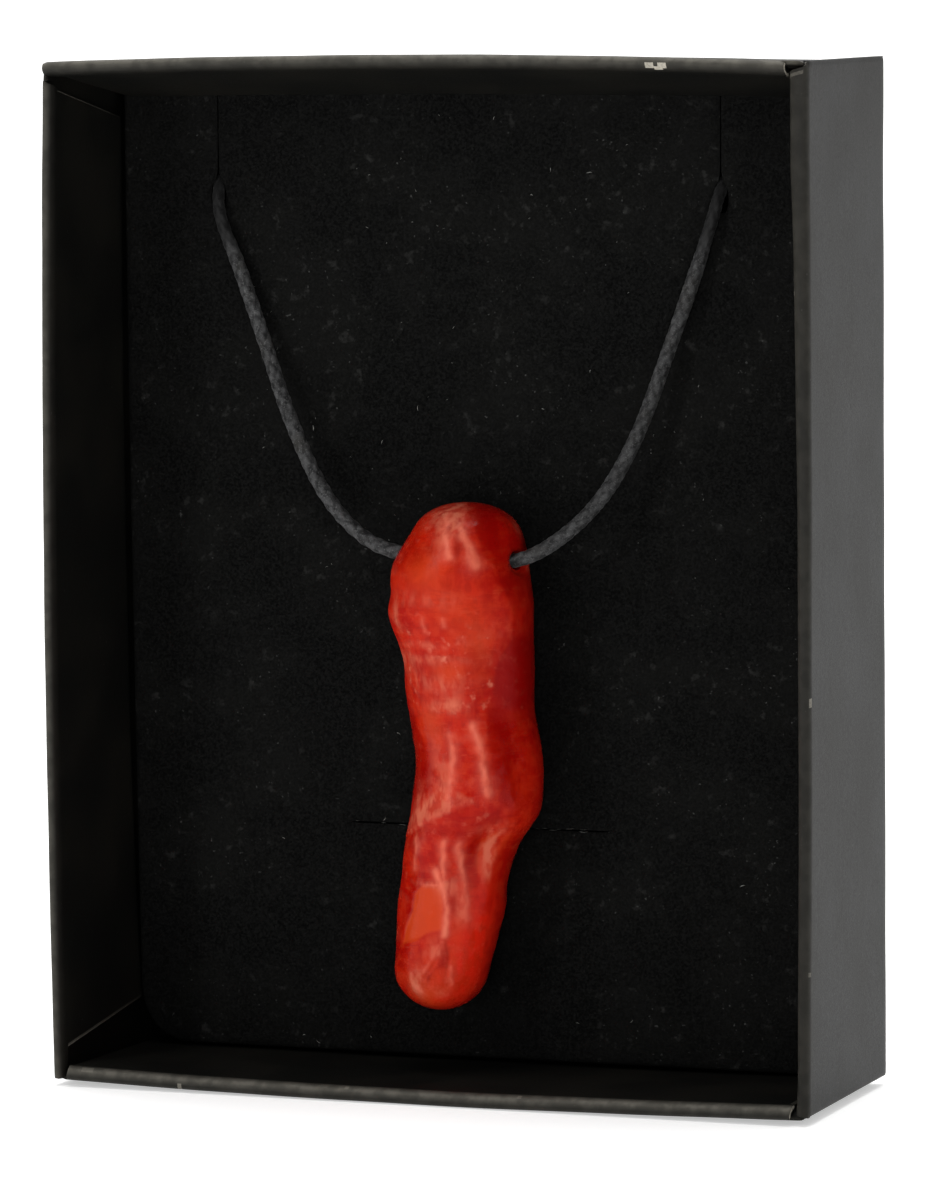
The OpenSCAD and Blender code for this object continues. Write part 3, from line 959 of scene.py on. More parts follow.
def section_at(height):
    """Smooth values between the rows of SECTIONS."""
    last = len(SECTIONS) - 1
    place = np.clip(height / SECTION_PITCH, 0, last)
    i = np.minimum(np.floor(place).astype(int), last - 1)
    t = (place - i)[..., None]
    a, b = SECTIONS[np.maximum(i - 1, 0)], SECTIONS[i]
    c, d = SECTIONS[i + 1], SECTIONS[np.minimum(i + 2, last)]
    return b + 0.5 * t * (c - a + t * (2 * a - 5 * b + 4 * c - d + t * (3 * (b - c) + d - a)))


def dome(depth, cap):
    reach, power = cap
    share = np.clip(1 - depth / reach, 0, 1)
    return (1 - share**power) ** (1 / power)


def turn_between(a, b):
    return (a - b + 540) % 360 - 180


def patch(height, angle, at_height, at_angle, reach, reach_round):
    """1 in the middle of a patch, falling smoothly to 0 round it."""
    over = turn_between(angle, at_angle) * ARC_PER_DEGREE / reach_round
    return np.exp(-((height - at_height) / reach) ** 2 - over**2)


def distance_to_line(height, angle, line):
    """Distance over the surface, in millimetres, to a line of heights and angles."""
    nearest = np.full(height.shape, np.inf)
    for (h0, a0), (h1, a1) in zip(line[:-1], line[1:]):
        x, y = height - h0, turn_between(angle, a0) * ARC_PER_DEGREE
        dx, dy = h1 - h0, (a1 - a0) * ARC_PER_DEGREE
        t = np.clip((x * dx + y * dy) / (dx * dx + dy * dy), 0, 1)
        nearest = np.minimum(nearest, np.hypot(x - t * dx, y - t * dy))
    return nearest


def near_line(height, angle, line, reach):
    """1 on a line, falling smoothly to 0 on both sides of it."""
    return np.exp(-(distance_to_line(height, angle, line) / reach) ** 2)


def inside_outline(height, angle, outline, blur):
    """1 inside a closed outline and 0 outside it, with an edge about blur millimetres wide."""
    angle = turn_between(angle, 0)
    closed = outline + outline[:1]
    inside = np.zeros(height.shape, bool)
    for (h0, a0), (h1, a1) in zip(closed[:-1], closed[1:]):
        if a0 != a1:
            crossing = h0 + (h1 - h0) * (angle - a0) / (a1 - a0)
            inside ^= ((a0 > angle) != (a1 > angle)) & (height < crossing)
    distance = distance_to_line(height, angle, closed)
    return smoothstep(-blur / 2, blur / 2, np.where(inside, distance, -distance))


def collar_rise(height, angle):
    """The step down from the collar to the thinner lower part, on the front only."""
    above = height - look_up(COLLAR, angle)
    front = window((62, 84), (178, 150), angle)
    return COLLAR_RISE * front * np.exp(-np.maximum(above, 0) / COLLAR_TAPER) * smoothstep(-0.25, 0.25, above)


def fine_rise(height, angle):
    """Ridges, clefts and pits that the polish has left, in millimetres."""
    rise = collar_rise(height, angle)
    for _, half_width, line in RIDGES_AND_PAINTED_HIGHLIGHTS:
        rise += RIDGE_RISE * half_width * near_line(height, angle, line, 1.4 * half_width)
    for line in CLEFTS:
        rise -= CLEFT_DEPTH * near_line(height, angle, line, CLEFT_REACH)
    for at_height, at_angle, radius, depth in PITS:
        rise -= depth * patch(height, angle, at_height, at_angle, radius, radius)
    return rise - FACET_DEPTH * inside_outline(height, angle, FACET, 0.5)


def scattered_pits(height, angle):
    """Tiny pits, thickest on the dull middle part and round the top."""
    chance = random.Random(7)
    rise = np.zeros_like(height)
    for _ in range(PIT_COUNT):
        band, reach = chance.choice(PIT_BANDS)
        at_height = band + reach * chance.uniform(-1, 1)
        at_angle = chance.uniform(0, 360)
        radius = chance.uniform(0.14, 0.30)
        rise -= chance.uniform(0.02, 0.06) * patch(height, angle, at_height, at_angle, radius, radius)
    return rise


def pendant_points(height, angle):
    """Points of the pendant's surface at the given heights and angles."""
    section = section_at(height)
    cap = dome(height, LOWER_CAP) * dome(PENDANT_LENGTH - height, UPPER_CAP)
    rise = np.zeros_like(height)
    for at_height, at_angle, reach, degrees, amount in DENTS:
        over = turn_between(angle, at_angle) / degrees
        rise += amount * np.exp(-((height - at_height) / reach) ** 2 - over**2)
    rise += fine_rise(height, angle) + scattered_pits(height, angle)
    reach = cap * (1 + rise / MEAN_RADIUS)
    turn = np.radians(angle)
    x = section[..., 0] + reach * section[..., 2] * np.cos(turn)
    y = PAD_FACE + section[..., 1] - reach * section[..., 3] * np.sin(turn)
    return np.stack([x, y, PENDANT_LOW + height], axis=-1)


def roughen(points, middle):
    """Moves the points along their distance from the middle line by smooth noise."""
    lumps = sum(amount * noise_at(points, size, seed) for amount, size, seed in PENDANT_LUMPS)
    away = points - middle
    away[:, 2] = 0
    size = np.linalg.norm(away, axis=1, keepdims=True)
    return points + lumps[:, None] * away / np.maximum(size, 0.4)


def soften_bore(points):
    """Sinks the surface a little round both mouths of the bore."""
    left, right = np.array([BORE_LEFT, BORE_RIGHT]) + [0, PAD_FACE, 0]
    axis = unit(right - left)
    from_axis = points - left
    along = from_axis @ axis
    radius = np.linalg.norm(from_axis - along[:, None] * axis, axis=1)
    middle = np.linalg.norm(right - left) / 2
    inward = np.sign(middle - along)
    depth = MOUTH_SINK * np.exp(-((radius - BORE_R) / MOUTH_REACH).clip(0) ** 2) * (radius < BORE_R + 1.2)
    return points + (depth * inward)[:, None] * axis


def place_on_pendant(points):
    """Height and angle of points on the pendant."""
    height = np.clip(points[:, 2] - PENDANT_LOW, 0, PENDANT_LENGTH)
    section = section_at(height)
    x = (points[:, 0] - section[:, 0]) / section[:, 2]
    y = (points[:, 1] - PAD_FACE - section[:, 1]) / section[:, 3]
    return height, np.degrees(np.arctan2(-y, x)) % 360


def patch_sum(height, angle, patches):
    total = np.zeros_like(height)
    for at_height, at_angle, reach, reach_round, amount in patches:
        total += amount * patch(height, angle, at_height, at_angle, reach, reach_round)
    return np.clip(total, 0, 1)


def area_sum(kind, height, angle, wobble):
    """The painted areas of one kind, with slightly uneven edges."""
    total = np.zeros_like(height)
    for area_kind, amount, blur, outline in AREAS:
        if area_kind == kind:
            total += amount * inside_outline(height + 0.12 * wobble, angle + 1.5 * wobble, outline, blur)
    return total


def back_share(angle):
    """1 on the hidden back, 0 on the front."""
    return window((175, 200), (350, 325), angle)


def painted_highlight_streaks(points, height, angle):
    """Painted highlights along the ridges: pale streaks with a soft border, which thin out and break up here
    and there.
    """
    sideways = noise_at(points, 0.8, 13)
    broken = 0.90 + 0.35 * noise_at(points, 0.9, 14)
    shine = np.zeros_like(height)
    for amount, half_width, line in RIDGES_AND_PAINTED_HIGHLIGHTS:
        distance = distance_to_line(height, angle + 2.2 * sideways, line) / half_width
        core, border = np.exp(-(distance**2)), np.exp(-((distance / 2.2) ** 2))
        shine = np.maximum(shine, amount * (0.75 * core + 0.25 * border))
    return shine * broken


def points_of(piece):
    """The piece's points in millimetres."""
    points = np.zeros(len(piece.data.vertices) * 3)
    piece.data.vertices.foreach_get("co", points)
    return points.reshape(-1, 3) / MM


def paint_pendant(piece):
    """Stores how dark, bright, pale, orange, streaked, rough and dull the coral is at each point. Besides the
    coral's own colours, the dark amount holds painted shade, the bright and orange amounts some painted glow,
    the pale amount some painted sheen and the streaks painted highlights.
    """
    points = points_of(piece)
    height, angle = place_on_pendant(points)
    wobble = noise_at(points, 1.6, 5)
    past_edge = turn_between(angle, 0) - (look_up(SHADE_EDGE, height) + 4 * wobble)
    back = back_share(angle)
    # Painted shade on the flank beyond the edge of the lit front
    shaded_flank = smoothstep(2.5, -2.5, past_edge) * (1 - back)
    beyond = 0.72 + 0.28 * smoothstep(0, -24, past_edge)
    deep_red_and_shade = shaded_flank * beyond * look_up(FLANK_SHADE, height)
    deep_red_and_shade += 0.6 * back * smoothstep(-0.2, 0.4, noise_at(points, 4.0, 8))
    deep_red_and_shade += patch_sum(height, angle, DEEP_RED_AND_SHADE_PATCHES) + area_sum("deep_red_and_shade", height, angle, wobble)
    bands = smoothstep(0.1, 0.5, noise_at(points * [0.35, 0.35, 1.0], 1.3, 9))
    pale = patch_sum(height, angle, PALE_AND_SHEEN_PATCHES) + area_sum("pale", height, angle, wobble)
    pale += 0.35 * back * smoothstep(0.15, 0.5, noise_at(points, 2.6, 11)) + 0.11 * bands * (1 - shaded_flank)
    # Less orange on the flank where shade is painted
    orange = patch_sum(height, angle, ORANGE_AND_GLOW_PATCHES) * (1 - 0.6 * shaded_flank)
    orange += area_sum("orange", height, angle, wobble)
    rough = window((26, 28), (36, 32), height) + 0.3 * window((15.5, 17), (20, 18.6), height)
    rough = np.minimum(0.15 + rough + smoothstep(42.8, 43.6, height), 1)
    amounts = {
        "deep_red_and_shade": DEEP_STRENGTH * deep_red_and_shade,
        "bright_red_and_glow": patch_sum(height, angle, BRIGHT_AND_GLOW_PATCHES),
        "pale": pale,
        "orange": orange,
        # Painted highlights along the ridges
        "painted_highlight": painted_highlight_streaks(points, height, angle),
        "rough": rough * (1 - 0.9 * shaded_flank),
        "dullness": look_up(DULLNESS, height) - 0.05 * shaded_flank,
    }
    for name, amount in amounts.items():
        paint(piece, name, np.clip(amount, 0, 1))


def pendant_mesh():
    """The branch without its bore: rings of points, closer together towards both ends."""
    share = np.linspace(0, 1, PENDANT_RINGS + 1)[1:-1]
    crowded = 0.5 - 0.5 * np.cos(math.pi * share)
    heights = PENDANT_LENGTH * between((share, crowded), RING_CROWDING)
    near_end = np.array([0.004, 0.03, 0.09])
    heights = np.concatenate([near_end, heights, PENDANT_LENGTH - near_end[::-1]])
    angles = -360 * np.arange(PENDANT_SIDES) / PENDANT_SIDES % 360
    height, angle = np.meshgrid(np.sort(heights), angles, indexing="ij")
    points = pendant_points(height, angle).reshape(-1, 3)
    section = section_at(height.ravel())
    middle = as_points(section[:, 0], PAD_FACE + section[:, 1], points[:, 2])
    points = soften_bore(roughen(points, middle))
    rows = len(heights)
    ends = np.array([points[:PENDANT_SIDES].mean(axis=0), points[-PENDANT_SIDES:].mean(axis=0)])
    ends[0, 2], ends[1, 2] = PENDANT_LOW, PENDANT_LOW + PENDANT_LENGTH
    faces = grid_faces(rows, PENDANT_SIDES, closed=True)
    low, high, last = len(points), len(points) + 1, (rows - 1) * PENDANT_SIDES
    for k in range(PENDANT_SIDES):
        following = (k + 1) % PENDANT_SIDES
        faces.append((low, following, k))
        faces.append((high, last + k, last + following))
    return np.vstack([points, ends]), faces


def cut_bore(piece, cord_path):
    """Cuts the cross bore along the cord's own way through the pendant."""
    inside = (np.abs(cord_path[:, 0] - BORE_X) < BORE_REACH) & (cord_path[:, 2] < BORE_TOP)
    # Every third point of the cord is enough
    way = cord_path[inside][::3]
    radius = np.full((len(way), BORE_SIDES), BORE_R)
    cutter = add_object("bore_cutter", new_mesh("bore_cutter", *tube(way, radius)))
    cut = piece.modifiers.new("bore", "BOOLEAN")
    cut.operation = "DIFFERENCE"
    cut.solver = "EXACT"
    cut.object = cutter
    whole = bpy.context.evaluated_depsgraph_get()
    result = bpy.data.meshes.new_from_object(piece.evaluated_get(whole))
    piece.modifiers.clear()
    piece.data = result
    bpy.data.objects.remove(cutter)


def make_pendant(cord_path):
    points, faces = pendant_mesh()
    piece = add_piece("coral_pendant", points, faces, coral_material(), "polished_coral")
    mend(piece, merge_doubles)
    cut_bore(piece, cord_path)
    mend(piece, merge_doubles)
    sharpen(piece, 55)
    paint_pendant(piece)
    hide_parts("pendant")


# Pad

def slit_half_width(z):
    """Half the opening of an upright slit in the pad's face, which closes round the sinking cord."""
    return look_up(SLIT_MOUTH, z)


def slit_half_inside(z):
    """Half the opening under the face: wide enough for the cord, and shut above it."""
    opening = window((SLIT_LOW - 0.5, SLIT_LOW + 0.8), SLIT_SHUTS, z)
    return np.maximum(slit_half_width(z), SLIT_HALF_OPEN * opening)


def lines_with(low, high, step, centres):
    """Grid lines between low and high, with both edges of each centre and closer lines round it.

    Returns the lines, the centre that each line belongs to (or -1) and its distance from that
    centre's edge, negative on the lower side."""
    near = np.array([0.0, 0.15, 0.35, 0.65, 1.1])
    # The tiny amount gives both edges, which lie at a distance of 0, a sign
    tiny = 1e-9
    rows = [(c - d, k, -d - tiny) for k, c in enumerate(centres) for d in near]
    rows += [(c + d, k, d + tiny) for k, c in enumerate(centres) for d in near]
    edge = np.array([0.0, 0.12, 0.3, 0.55, 0.9])
    plain = np.concatenate([low + edge, high - edge, np.arange(low + edge[-1] + step, high - 1.2, step)])
    for v in plain:
        if all(abs(v - c) > SLIT_REACH for c in centres):
            rows.append((v, -1, 0.0))
    rows.sort(key=lambda r: (r[0], r[2]))
    values, owners, offsets = zip(*rows)
    return np.array(values), np.array(owners), np.array(offsets)


def round_corner(x, z):
    """Rounds the pad's lower left corner by squeezing the grid into a quarter disc."""
    p = np.clip(1 - (x + PAD_X) / PAD_CORNER, 0, 1)
    q = np.clip(1 - (z - PAD_LOW) / PAD_CORNER, 0, 1)
    inside = (p > 0) & (q > 0)
    p2 = np.where(inside, p * np.sqrt(1 - q * q / 2), p)
    q2 = np.where(inside, q * np.sqrt(1 - p * p / 2), q)
    return (
        np.where(p > 0, PAD_CORNER * (1 - p2) - PAD_X, x),
        np.where(q > 0, PAD_CORNER * (1 - q2) + PAD_LOW, z),
    )


def level_slit_share(x):
    """1 along the level slit, 0 beyond its ends."""
    return smoothstep(LEVEL_SLIT_X, LEVEL_SLIT_X - 0.8, np.abs(x))


def set_back(x, z, lip, level_lip):
    """How far the pad's face is set back at its rounded edges and at the lips of its slits."""
    edge = np.minimum.reduce([x + PAD_X, PAD_X - x, z - PAD_LOW, PAD_HIGH - z])
    share = 1 - np.clip(edge / PAD_EDGE, 0, 1)
    back = PAD_EDGE * (1 - np.sqrt(1 - share**2))
    back += 0.16 * lip * smoothstep(SLIT_LOW - 1, SLIT_LOW + 1, z)
    return back + 0.12 * level_lip * level_slit_share(x)


def pad_grid():
    """The pad's face: points in the plane, how far each is set back, and which cells are foam."""
    xs, x_owner, x_offset = lines_with(-PAD_X, PAD_X, PAD_STEP, SLITS_X)
    zs, z_owner, z_offset = lines_with(PAD_LOW, PAD_HIGH, PAD_STEP, [LEVEL_SLIT_Z])
    z, x = np.meshgrid(zs, xs, indexing="ij")
    # Away from a slit its lines give way less and less, so that none crosses the next one
    slit_side = np.sign(x_offset) * (x_owner >= 0) * (1 - np.abs(x_offset) / SLIT_REACH)
    inside_x = x + slit_side * slit_half_inside(z)
    x = x + slit_side * slit_half_width(z)
    level_side = (np.sign(z_offset) * (z_owner >= 0))[:, None]
    z = z + level_side * (LEVEL_SLIT_HALF * level_slit_share(x) + 0.01)
    lip = np.exp(-np.abs(x_offset) / 0.30) * (x_owner >= 0)
    level_lip = (np.exp(-np.abs(z_offset) / 0.25) * (z_owner >= 0))[:, None]
    back = set_back(x, z, lip, level_lip)
    foam = np.ones((len(zs) - 1, len(xs) - 1), bool)
    foam[:, opens_a_slit(x_owner, x_offset)] &= (zs[:-1] < SLIT_LOW)[:, None]
    foam[opens_a_slit(z_owner, z_offset)] &= np.maximum(np.abs(xs[:-1]), np.abs(xs[1:])) > LEVEL_SLIT_X
    inside_x, inside_z = shape_outline(inside_x, z)
    x, z = shape_outline(x, z)
    return x, z, inside_x, inside_z, back, foam


def opens_a_slit(owners, offsets):
    """Which of the gaps between following lines lie between the two edges of a slit."""
    same = (owners[:-1] >= 0) & (owners[:-1] == owners[1:])
    return same & (offsets[:-1] < 0) & (offsets[1:] > 0)


def shape_outline(x, z):
    """Rounds the lower left corner and leans the left edge inwards towards it, as the flap does."""
    x, z = round_corner(x, z)
    near_left = smoothstep(-PAD_X + 9, -PAD_X, x)
    lean = PAD_LEAN * np.clip(1 - z / PAD_HIGH, 0, 1) ** 2 - 0.15
    return x + near_left * lean, z


def slab_faces(foam, layers=2):
    """Faces of a slab of grid cells: its front, its back and a wall wherever a cell has no neighbour.

    The points come layer after layer, from the front to the back."""
    rows, columns = foam.shape
    count = (rows + 1) * (columns + 1)
    rear = (layers - 1) * count

    def at(r, c):
        return r * (columns + 1) + c

    faces = []
    for r in range(rows):
        for c in range(columns):
            if not foam[r, c]:
                continue
            a, b, d, e = at(r, c), at(r, c + 1), at(r + 1, c + 1), at(r + 1, c)
            faces.append((a, b, d, e))
            faces.append((rear + e, rear + d, rear + b, rear + a))
            walls = [
                (b, a, r == 0 or not foam[r - 1, c]),
                (e, d, r == rows - 1 or not foam[r + 1, c]),
                (a, e, c == 0 or not foam[r, c - 1]),
                (d, b, c == columns - 1 or not foam[r, c + 1]),
            ]
            for first, second, is_open in walls:
                if is_open:
                    for layer in range(0, rear, count):
                        faces.append((
                            layer + first, layer + second, layer + count + second, layer + count + first))
    return faces


def pad_relief(x, z):
    """The slight waves of the foam's face."""
    flat = as_points(x, 0.0, z)
    waves = 0.10 * noise_at(flat, 17.0, 21) + 0.035 * noise_at(flat, 2.4, 22)
    return waves.reshape(x.shape)


def make_pad():
    """The pad in three layers: its face, the foam just under it, where the slits are wider, and its back."""
    x, z, inside_x, inside_z, back, foam = pad_grid()
    y = PAD_FACE + back + np.abs(pad_relief(x, z))
    front = as_points(x, y, z)
    under = as_points(inside_x, y + SLIT_UNDER, inside_z)
    rear = as_points(inside_x, PAD_BACK, inside_z)
    points = np.vstack([front, under, rear])
    faces = slab_faces(foam, layers=3)
    piece = add_piece("flocked_pad", points, faces, flock_material(), "flocked_pad")
    mend(piece, drop_loose_points)
    sharpen(piece, 60)
    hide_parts("pad")


# Lint: where the photo shows the larger bits on the pad (x, height)
LINT = [
    (1.8, 85.1), (7.1, 80.6), (-5.5, 59.5), (-7.8, 30.8), (10.9, 80.6), (5.2, 78.6), (-21.2, 70.2),
    (-15.5, 57.6), (-9.0, 56.5), (24.7, 18.5), (-17.1, 3.2), (-10.4, 3.3), (-15.4, 2.6), (6.4, 59.8),
    (8.9, 5.6), (14.0, 5.9), (-18.9, 21.0), (-5.4, 51.6), (-9.2, 22.9),
]
LINT_Y = PAD_FACE + 0.02
SLIT_FIBRE_Y = LINT_Y + 0.05
FLUFF_COUNT = 110
SLIT_FIBRE_COUNT = 26
FIBRE_STEPS = 7
FIBRE_SIDES = 4


def add_fibre(points, faces, start, heading, length, thickness, curl):
    """One short curved fibre lying in the plane of the pad's face."""
    first = len(points)
    faces += [tuple(first + v for v in face) for face in tube_faces(FIBRE_STEPS, FIBRE_SIDES)]
    x, y, z = start
    step = length / FIBRE_STEPS
    for i in range(FIBRE_STEPS):
        swell = thickness / 2 * math.sin(math.pi * (i + 0.6) / (FIBRE_STEPS + 0.2))
        for k in range(FIBRE_SIDES):
            turn = 2 * math.pi * k / FIBRE_SIDES
            across, off = swell * math.cos(turn), swell * math.sin(turn)
            points.append((x - across * math.sin(heading), y + off, z + across * math.cos(heading)))
        x += step * math.cos(heading)
        z += step * math.sin(heading)
        heading += curl / FIBRE_STEPS


def make_lint():
    """The larger bits, fine fluff that is thickest above the pad's middle, and fibres in its level slit."""
    chance = random.Random(11)
    points, faces = [], []
    for x, z in LINT:
        add_fibre(points, faces, (x, LINT_Y, z), chance.uniform(0, math.pi), chance.uniform(0.3, 0.6),
                  chance.uniform(0.04, 0.07), chance.uniform(-2.5, 2.5))
    for _ in range(FLUFF_COUNT):
        x, z = chance.gauss(2, 13), chance.gauss(62, 15)
        if abs(x) > 31 or not 4 < z < 86:
            continue
        add_fibre(points, faces, (x, LINT_Y, z), chance.uniform(0, math.pi), chance.uniform(0.10, 0.35),
                  chance.uniform(0.02, 0.04), chance.uniform(-3, 3))
    for _ in range(SLIT_FIBRE_COUNT):
        x = chance.uniform(-12.2, 12.2)
        z = LEVEL_SLIT_Z + chance.uniform(-0.12, 0.12)
        add_fibre(points, faces, (x, SLIT_FIBRE_Y, z), chance.uniform(-0.15, 0.15),
                  chance.uniform(0.4, 1.0), 0.022, chance.uniform(-0.3, 0.3))
    add_piece("pad_lint", points, faces, lint_material(), "flocked_pad")


# Box: each wall is one band of card, from the back edge round the rim's fold to the flap's free edge

BACK_COLUMNS = 5
PLAIN_COLUMNS = 14
FOLD_COLUMNS = 17
FLAP_COLUMNS = 12
FOLD_START = BACK_COLUMNS + PLAIN_COLUMNS
COLUMNS = FOLD_START + FOLD_COLUMNS + FLAP_COLUMNS


def fold_point(share, inner_reach):
    """A point on the rounded fold, from the outer face (share 0) to the flap's face (share 1)."""
    turn = math.pi * (share - 0.5)
    outer = share < 0.5
    reach = FOLD_OUTER_Y if outer else inner_reach
    height = FOLD_CREST if outer else FOLD_T - FOLD_CREST
    return BOX_FRONT + reach * (1 - math.cos(turn)), FOLD_CREST + height * math.sin(turn)


def band_stations(wall):
    """Stations across a wall's band, each a tuple of nine numbers.

    They are y and h of the outside and of the inside, the cuts at the two ends, the wear and painted sheen,
    and how much the outside and the inside move inwards as the fold thickens. h is the distance from the
    wall's outer face towards the inside of the box."""
    stations = []
    card = CARD_T[wall]
    low_end, high_end = ENDS[wall]
    for k in range(BACK_COLUMNS):
        turn = math.pi / 2 * k / (BACK_COLUMNS - 1)
        y = BOX_BACK - BACK_FOLD_R * (1 - math.cos(turn))
        h = BACK_FOLD_R * (1 - math.sin(turn))
        stations.append((y, h, BOX_BACK - card, card, low_end[0], high_end[0], 0.1, 0, 0))
    fold_y = BOX_FRONT + FOLD_INNER_Y[wall]
    for share in np.linspace(0, 1, PLAIN_COLUMNS):
        y = between((BOX_BACK - BACK_T, fold_y + 0.5), share)
        cuts = between(low_end[:2], share), between(high_end[:2], share)
        stations.append((y, 0.0, y, card, *cuts, 0, 0, 0))
    for k in range(FOLD_COLUMNS):
        share = k / (FOLD_COLUMNS - 1)
        y, h = fold_point(share, FOLD_INNER_Y[wall])
        low_cut = between(low_end[2:4], share) if k else low_end[1]
        high_cut = between(high_end[2:4], share) if k else high_end[1]
        grown = max(0.0, h - FOLD_CREST) / (FOLD_T - FOLD_CREST)
        wear_and_sheen = look_up(WEAR_AND_SHEEN[wall], share)
        stations.append((y, h, fold_y + 0.05, card + 0.02 * share, low_cut, high_cut, wear_and_sheen, grown, 0))
    for share in np.linspace(0, 1, FLAP_COLUMNS):
        y = between((fold_y + 0.15, FLAP_END_Y[wall]), share)
        h = FOLD_T + FLAP_DROOP[wall] * share
        cuts = between(low_end[4:], share), between(high_end[4:], share)
        stations.append((y, h, y, h - card + 0.09, *cuts, 0, 1, 1))
    return stations


def wall_to_box(wall, s, y, h):
    """A point of a wall's band in the box: s along the wall, h inwards from its outer face."""
    up = s / (BOX_HIGH - BOX_LOW)
    if wall == LEFT:
        return h - between(LEFT_WALL_X, up), y, BOX_LOW + s
    if wall == RIGHT:
        return between(RIGHT_WALL_X, up) - h, y, BOX_LOW + s
    if wall == LOW:
        return -BOX_X + s, y, BOX_LOW + h
    return -BOX_X + s, y, between(HIGH_WALL_Z, s / (2 * BOX_X)) - h


def band_points(wall, stations, shares, length):
    """Points of a band's outside and inside, row after row along the wall."""
    outside, inside = [], []
    for share in shares:
        spread = between(SPREAD[wall][:2], share) + SPREAD[wall][2] * (1 - (2 * share - 1) ** 2)
        end_distance = min(share, 1 - share) * length
        pinch = 1 - math.sqrt(max(0.0, 1 - (1 - min(end_distance / END_ROUND, 1)) ** 2))
        thicker = look_up(FOLD_ALONG[wall], share) - FOLD_T
        for y, h, yi, hi, low_cut, high_cut, wear_and_sheen, grown, grown_inside in stations:
            s = low_cut + (length - low_cut - high_cut) * share
            lean = spread * (BOX_BACK - y) / (BOX_BACK - BOX_FRONT)
            wave = 0.05 * noise.noise((s / 9, y / 9, 5.5 * len(wall)))
            worn_away = 0.05 * wear_and_sheen * noise.noise((s / 1.7, 3.3 * len(wall), 1.5))
            if wall == LEFT and grown_inside:
                h += LEFT_FLAP_LEAN * (y - BOX_FRONT - FOLD_INNER_Y[LEFT]) / FLAP_DEPTH * (1 - share) ** 3
            rounded = 0.2 * pinch if h < 0.1 else 0
            h += thicker * grown - lean - wave + rounded
            outside.append(wall_to_box(wall, s, y + 0.25 * pinch * min(wear_and_sheen, 0.8) + worn_away, h))
            inside.append(wall_to_box(wall, s, yi, hi + thicker * grown_inside - lean - wave))
    return outside, inside


def wall_shares(steps):
    """Where the rows along a wall lie, as shares of its length: even, and closer at both ends."""
    near_end = END_SHARE * (0.5 - 0.5 * np.cos(np.linspace(0, math.pi, 9)))[:4]
    return np.concatenate([near_end, np.linspace(END_SHARE, 1 - END_SHARE, steps), 1 - near_end[::-1]])


def rim_starts(rows):
    """A band's two end rows, each with the first of the points that border the pale line of its cut."""
    both_sides = 2 * rows * COLUMNS
    return {0: both_sides, rows - 1: both_sides + COLUMNS}


def close_long_edges(faces, bare, rows):
    """Closes the card along the wall's back edge and along the flap's free edge."""
    starts = rim_starts(rows)

    def through(row, column):
        """Points through the card: its outside, the pale line's border in an end row, its inside."""
        point = row * COLUMNS + column
        border = [starts[row] + column] if row in starts else []
        return [point, *border, rows * COLUMNS + point]

    for r in range(rows - 1):
        for first, second, column, pale in ((r, r + 1, 0, 0.0), (r + 1, r, COLUMNS - 1, 0.6)):
            faces.append(tuple(through(first, column) + through(second, column)[::-1]))
            bare.append(pale)


def close_ends(wall, faces, bare, outside, inside):
    """Closes the card at the wall's two ends and returns the points that border their pale lines."""
    count = len(outside)
    rims = []
    for (row, first_rim), pale in zip(rim_starts(count // COLUMNS).items(), CUT_PALE[wall]):
        start = row * COLUMNS
        rims += cut_rim(outside[start:start + COLUMNS], inside[start:start + COLUMNS])
        for c in range(COLUMNS - 1):
            a, b = (c, c + 1) if row == 0 else (c + 1, c)
            faces.append((start + a, start + b, first_rim + b, first_rim + a))
            faces.append((first_rim + a, first_rim + b, count + start + b, count + start + a))
            bare.extend((pale * cut_fade(c), 0.0))
    return rims


def make_wall(wall, material):
    """One wall with its fold and flap, a closed band of card with its wear and painted sheen and its bare
    edges painted on.
    """
    stations = band_stations(wall)
    length = 2 * BOX_X if wall in (LOW, HIGH) else BOX_HIGH - BOX_LOW
    shares = wall_shares(int(length / WALL_STEP))
    outside, inside = band_points(wall, stations, shares, length)
    count, rows = len(outside), len(shares)
    faces = grid_faces(rows, COLUMNS)
    if wall in (LEFT, HIGH):
        faces = [f[::-1] for f in faces]
    faces += [tuple(count + v for v in f[::-1]) for f in faces]
    bare = [0.0] * len(faces)
    mark_chips(wall, bare, shares * length)
    close_long_edges(faces, bare, rows)
    rims = close_ends(wall, faces, bare, outside, inside)
    piece = add_piece(f"box_wall_{wall}", outside + inside + rims, faces, material, "black_card")
    wear_and_sheen = [station[6] for station in stations] * rows
    # Wear and painted sheen along the fold
    paint(piece, "worn", wear_and_sheen + [0.0] * (count + len(rims)))
    paint(piece, "bare", bare, "FACE")
    mend(piece, merge_doubles)
    sharpen(piece, 40)
    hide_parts("box_tray")


def cut_rim(outside, inside):
    """Points CUT_EDGE inwards of a band's end, which bound the pale line of its cut."""
    outer, inner = np.array(outside), np.array(inside)
    reach = inner - outer
    share = np.minimum(0.8, CUT_EDGE / np.linalg.norm(reach, axis=1, keepdims=True))
    return (outer + share * reach).tolist()


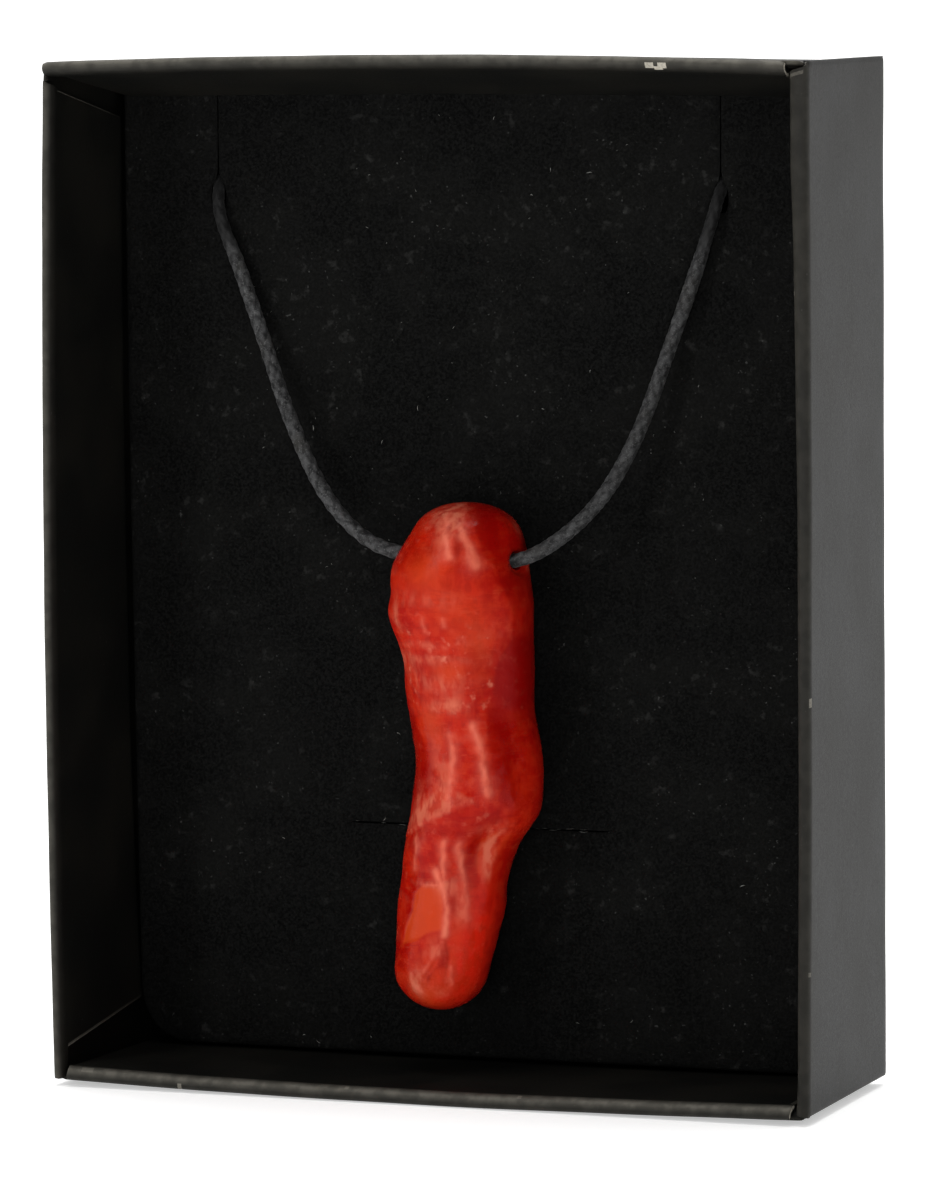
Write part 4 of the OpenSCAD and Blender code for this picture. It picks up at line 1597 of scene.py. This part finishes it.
def cut_fade(column):
    """How much of its pale colour a cut shows: none on the plain wall, less and less along the flap."""
    if column <= FOLD_START:
        return 0.0
    return min(1.0, (COLUMNS - column) / FLAP_COLUMNS)


def mark_chips(wall, bare, along):
    """Pale chips on the fold, and the pale line of the cut at both ends of the left flap."""
    rows = len(along) - 1
    for chip_wall, place, length, first, last, pale in CHIPS:
        for row in range(rows):
            if chip_wall == wall and abs(along[row] - place) < length / 2:
                for k in range(round(first * FOLD_COLUMNS), round(last * FOLD_COLUMNS)):
                    bare[row * (COLUMNS - 1) + FOLD_START + k] = pale
    if wall == LEFT:
        for row, pale in LEFT_FLAP_CUTS:
            for column in range(COLUMNS - FLAP_COLUMNS, COLUMNS - 1):
                bare[row % rows * (COLUMNS - 1) + column] = pale * cut_fade(column)


def panel_lines(low, high, count):
    """Grid lines across the back panel, closer at its edges."""
    edge = np.array([0.0, 0.1, 0.25, 0.5])
    return np.concatenate([low + edge, np.linspace(low + 2, high - 2, count), high - edge[::-1]])


def make_back(material):
    """The back panel, with very slight waves on its outside."""
    xs = panel_lines(*BACK_X, 40)
    zs = panel_lines(*BACK_Z, 50)
    z, x = np.meshgrid(zs, xs, indexing="ij")
    waves = (0.03 * noise_at(as_points(x, 0.0, z), 14, 31)).reshape(x.shape) - 0.04
    points = np.vstack([as_points(x, BOX_BACK - BACK_T, z), as_points(x, BOX_BACK + waves, z)])
    faces = slab_faces(np.ones((len(zs) - 1, len(xs) - 1), bool))
    piece = add_piece("box_back", points, faces, material, "black_card")
    paint(piece, "worn", np.zeros(2 * x.size))
    paint(piece, "bare", np.zeros(len(faces)), "FACE")
    sharpen(piece, 40)
    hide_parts("box_tray")


def make_box():
    material = card_material()
    for wall in (LEFT, RIGHT, LOW, HIGH):
        make_wall(wall, material)
    make_back(material)


make_camera()
cord, path, cord_length = make_cord()
clasp = make_clasp()
make_world()
make_floor()
make_overhead()
make_strip("key_strip", azimuth=-31, distance=0.9, width=0.16, height=1.2, middle_z=0.55, power=3.6)
make_strip("front_strip", azimuth=19, distance=0.9, width=0.10, height=0.7, middle_z=0.33, power=1.40)
make_pendant(path)
make_pad()
make_lint()
make_box()
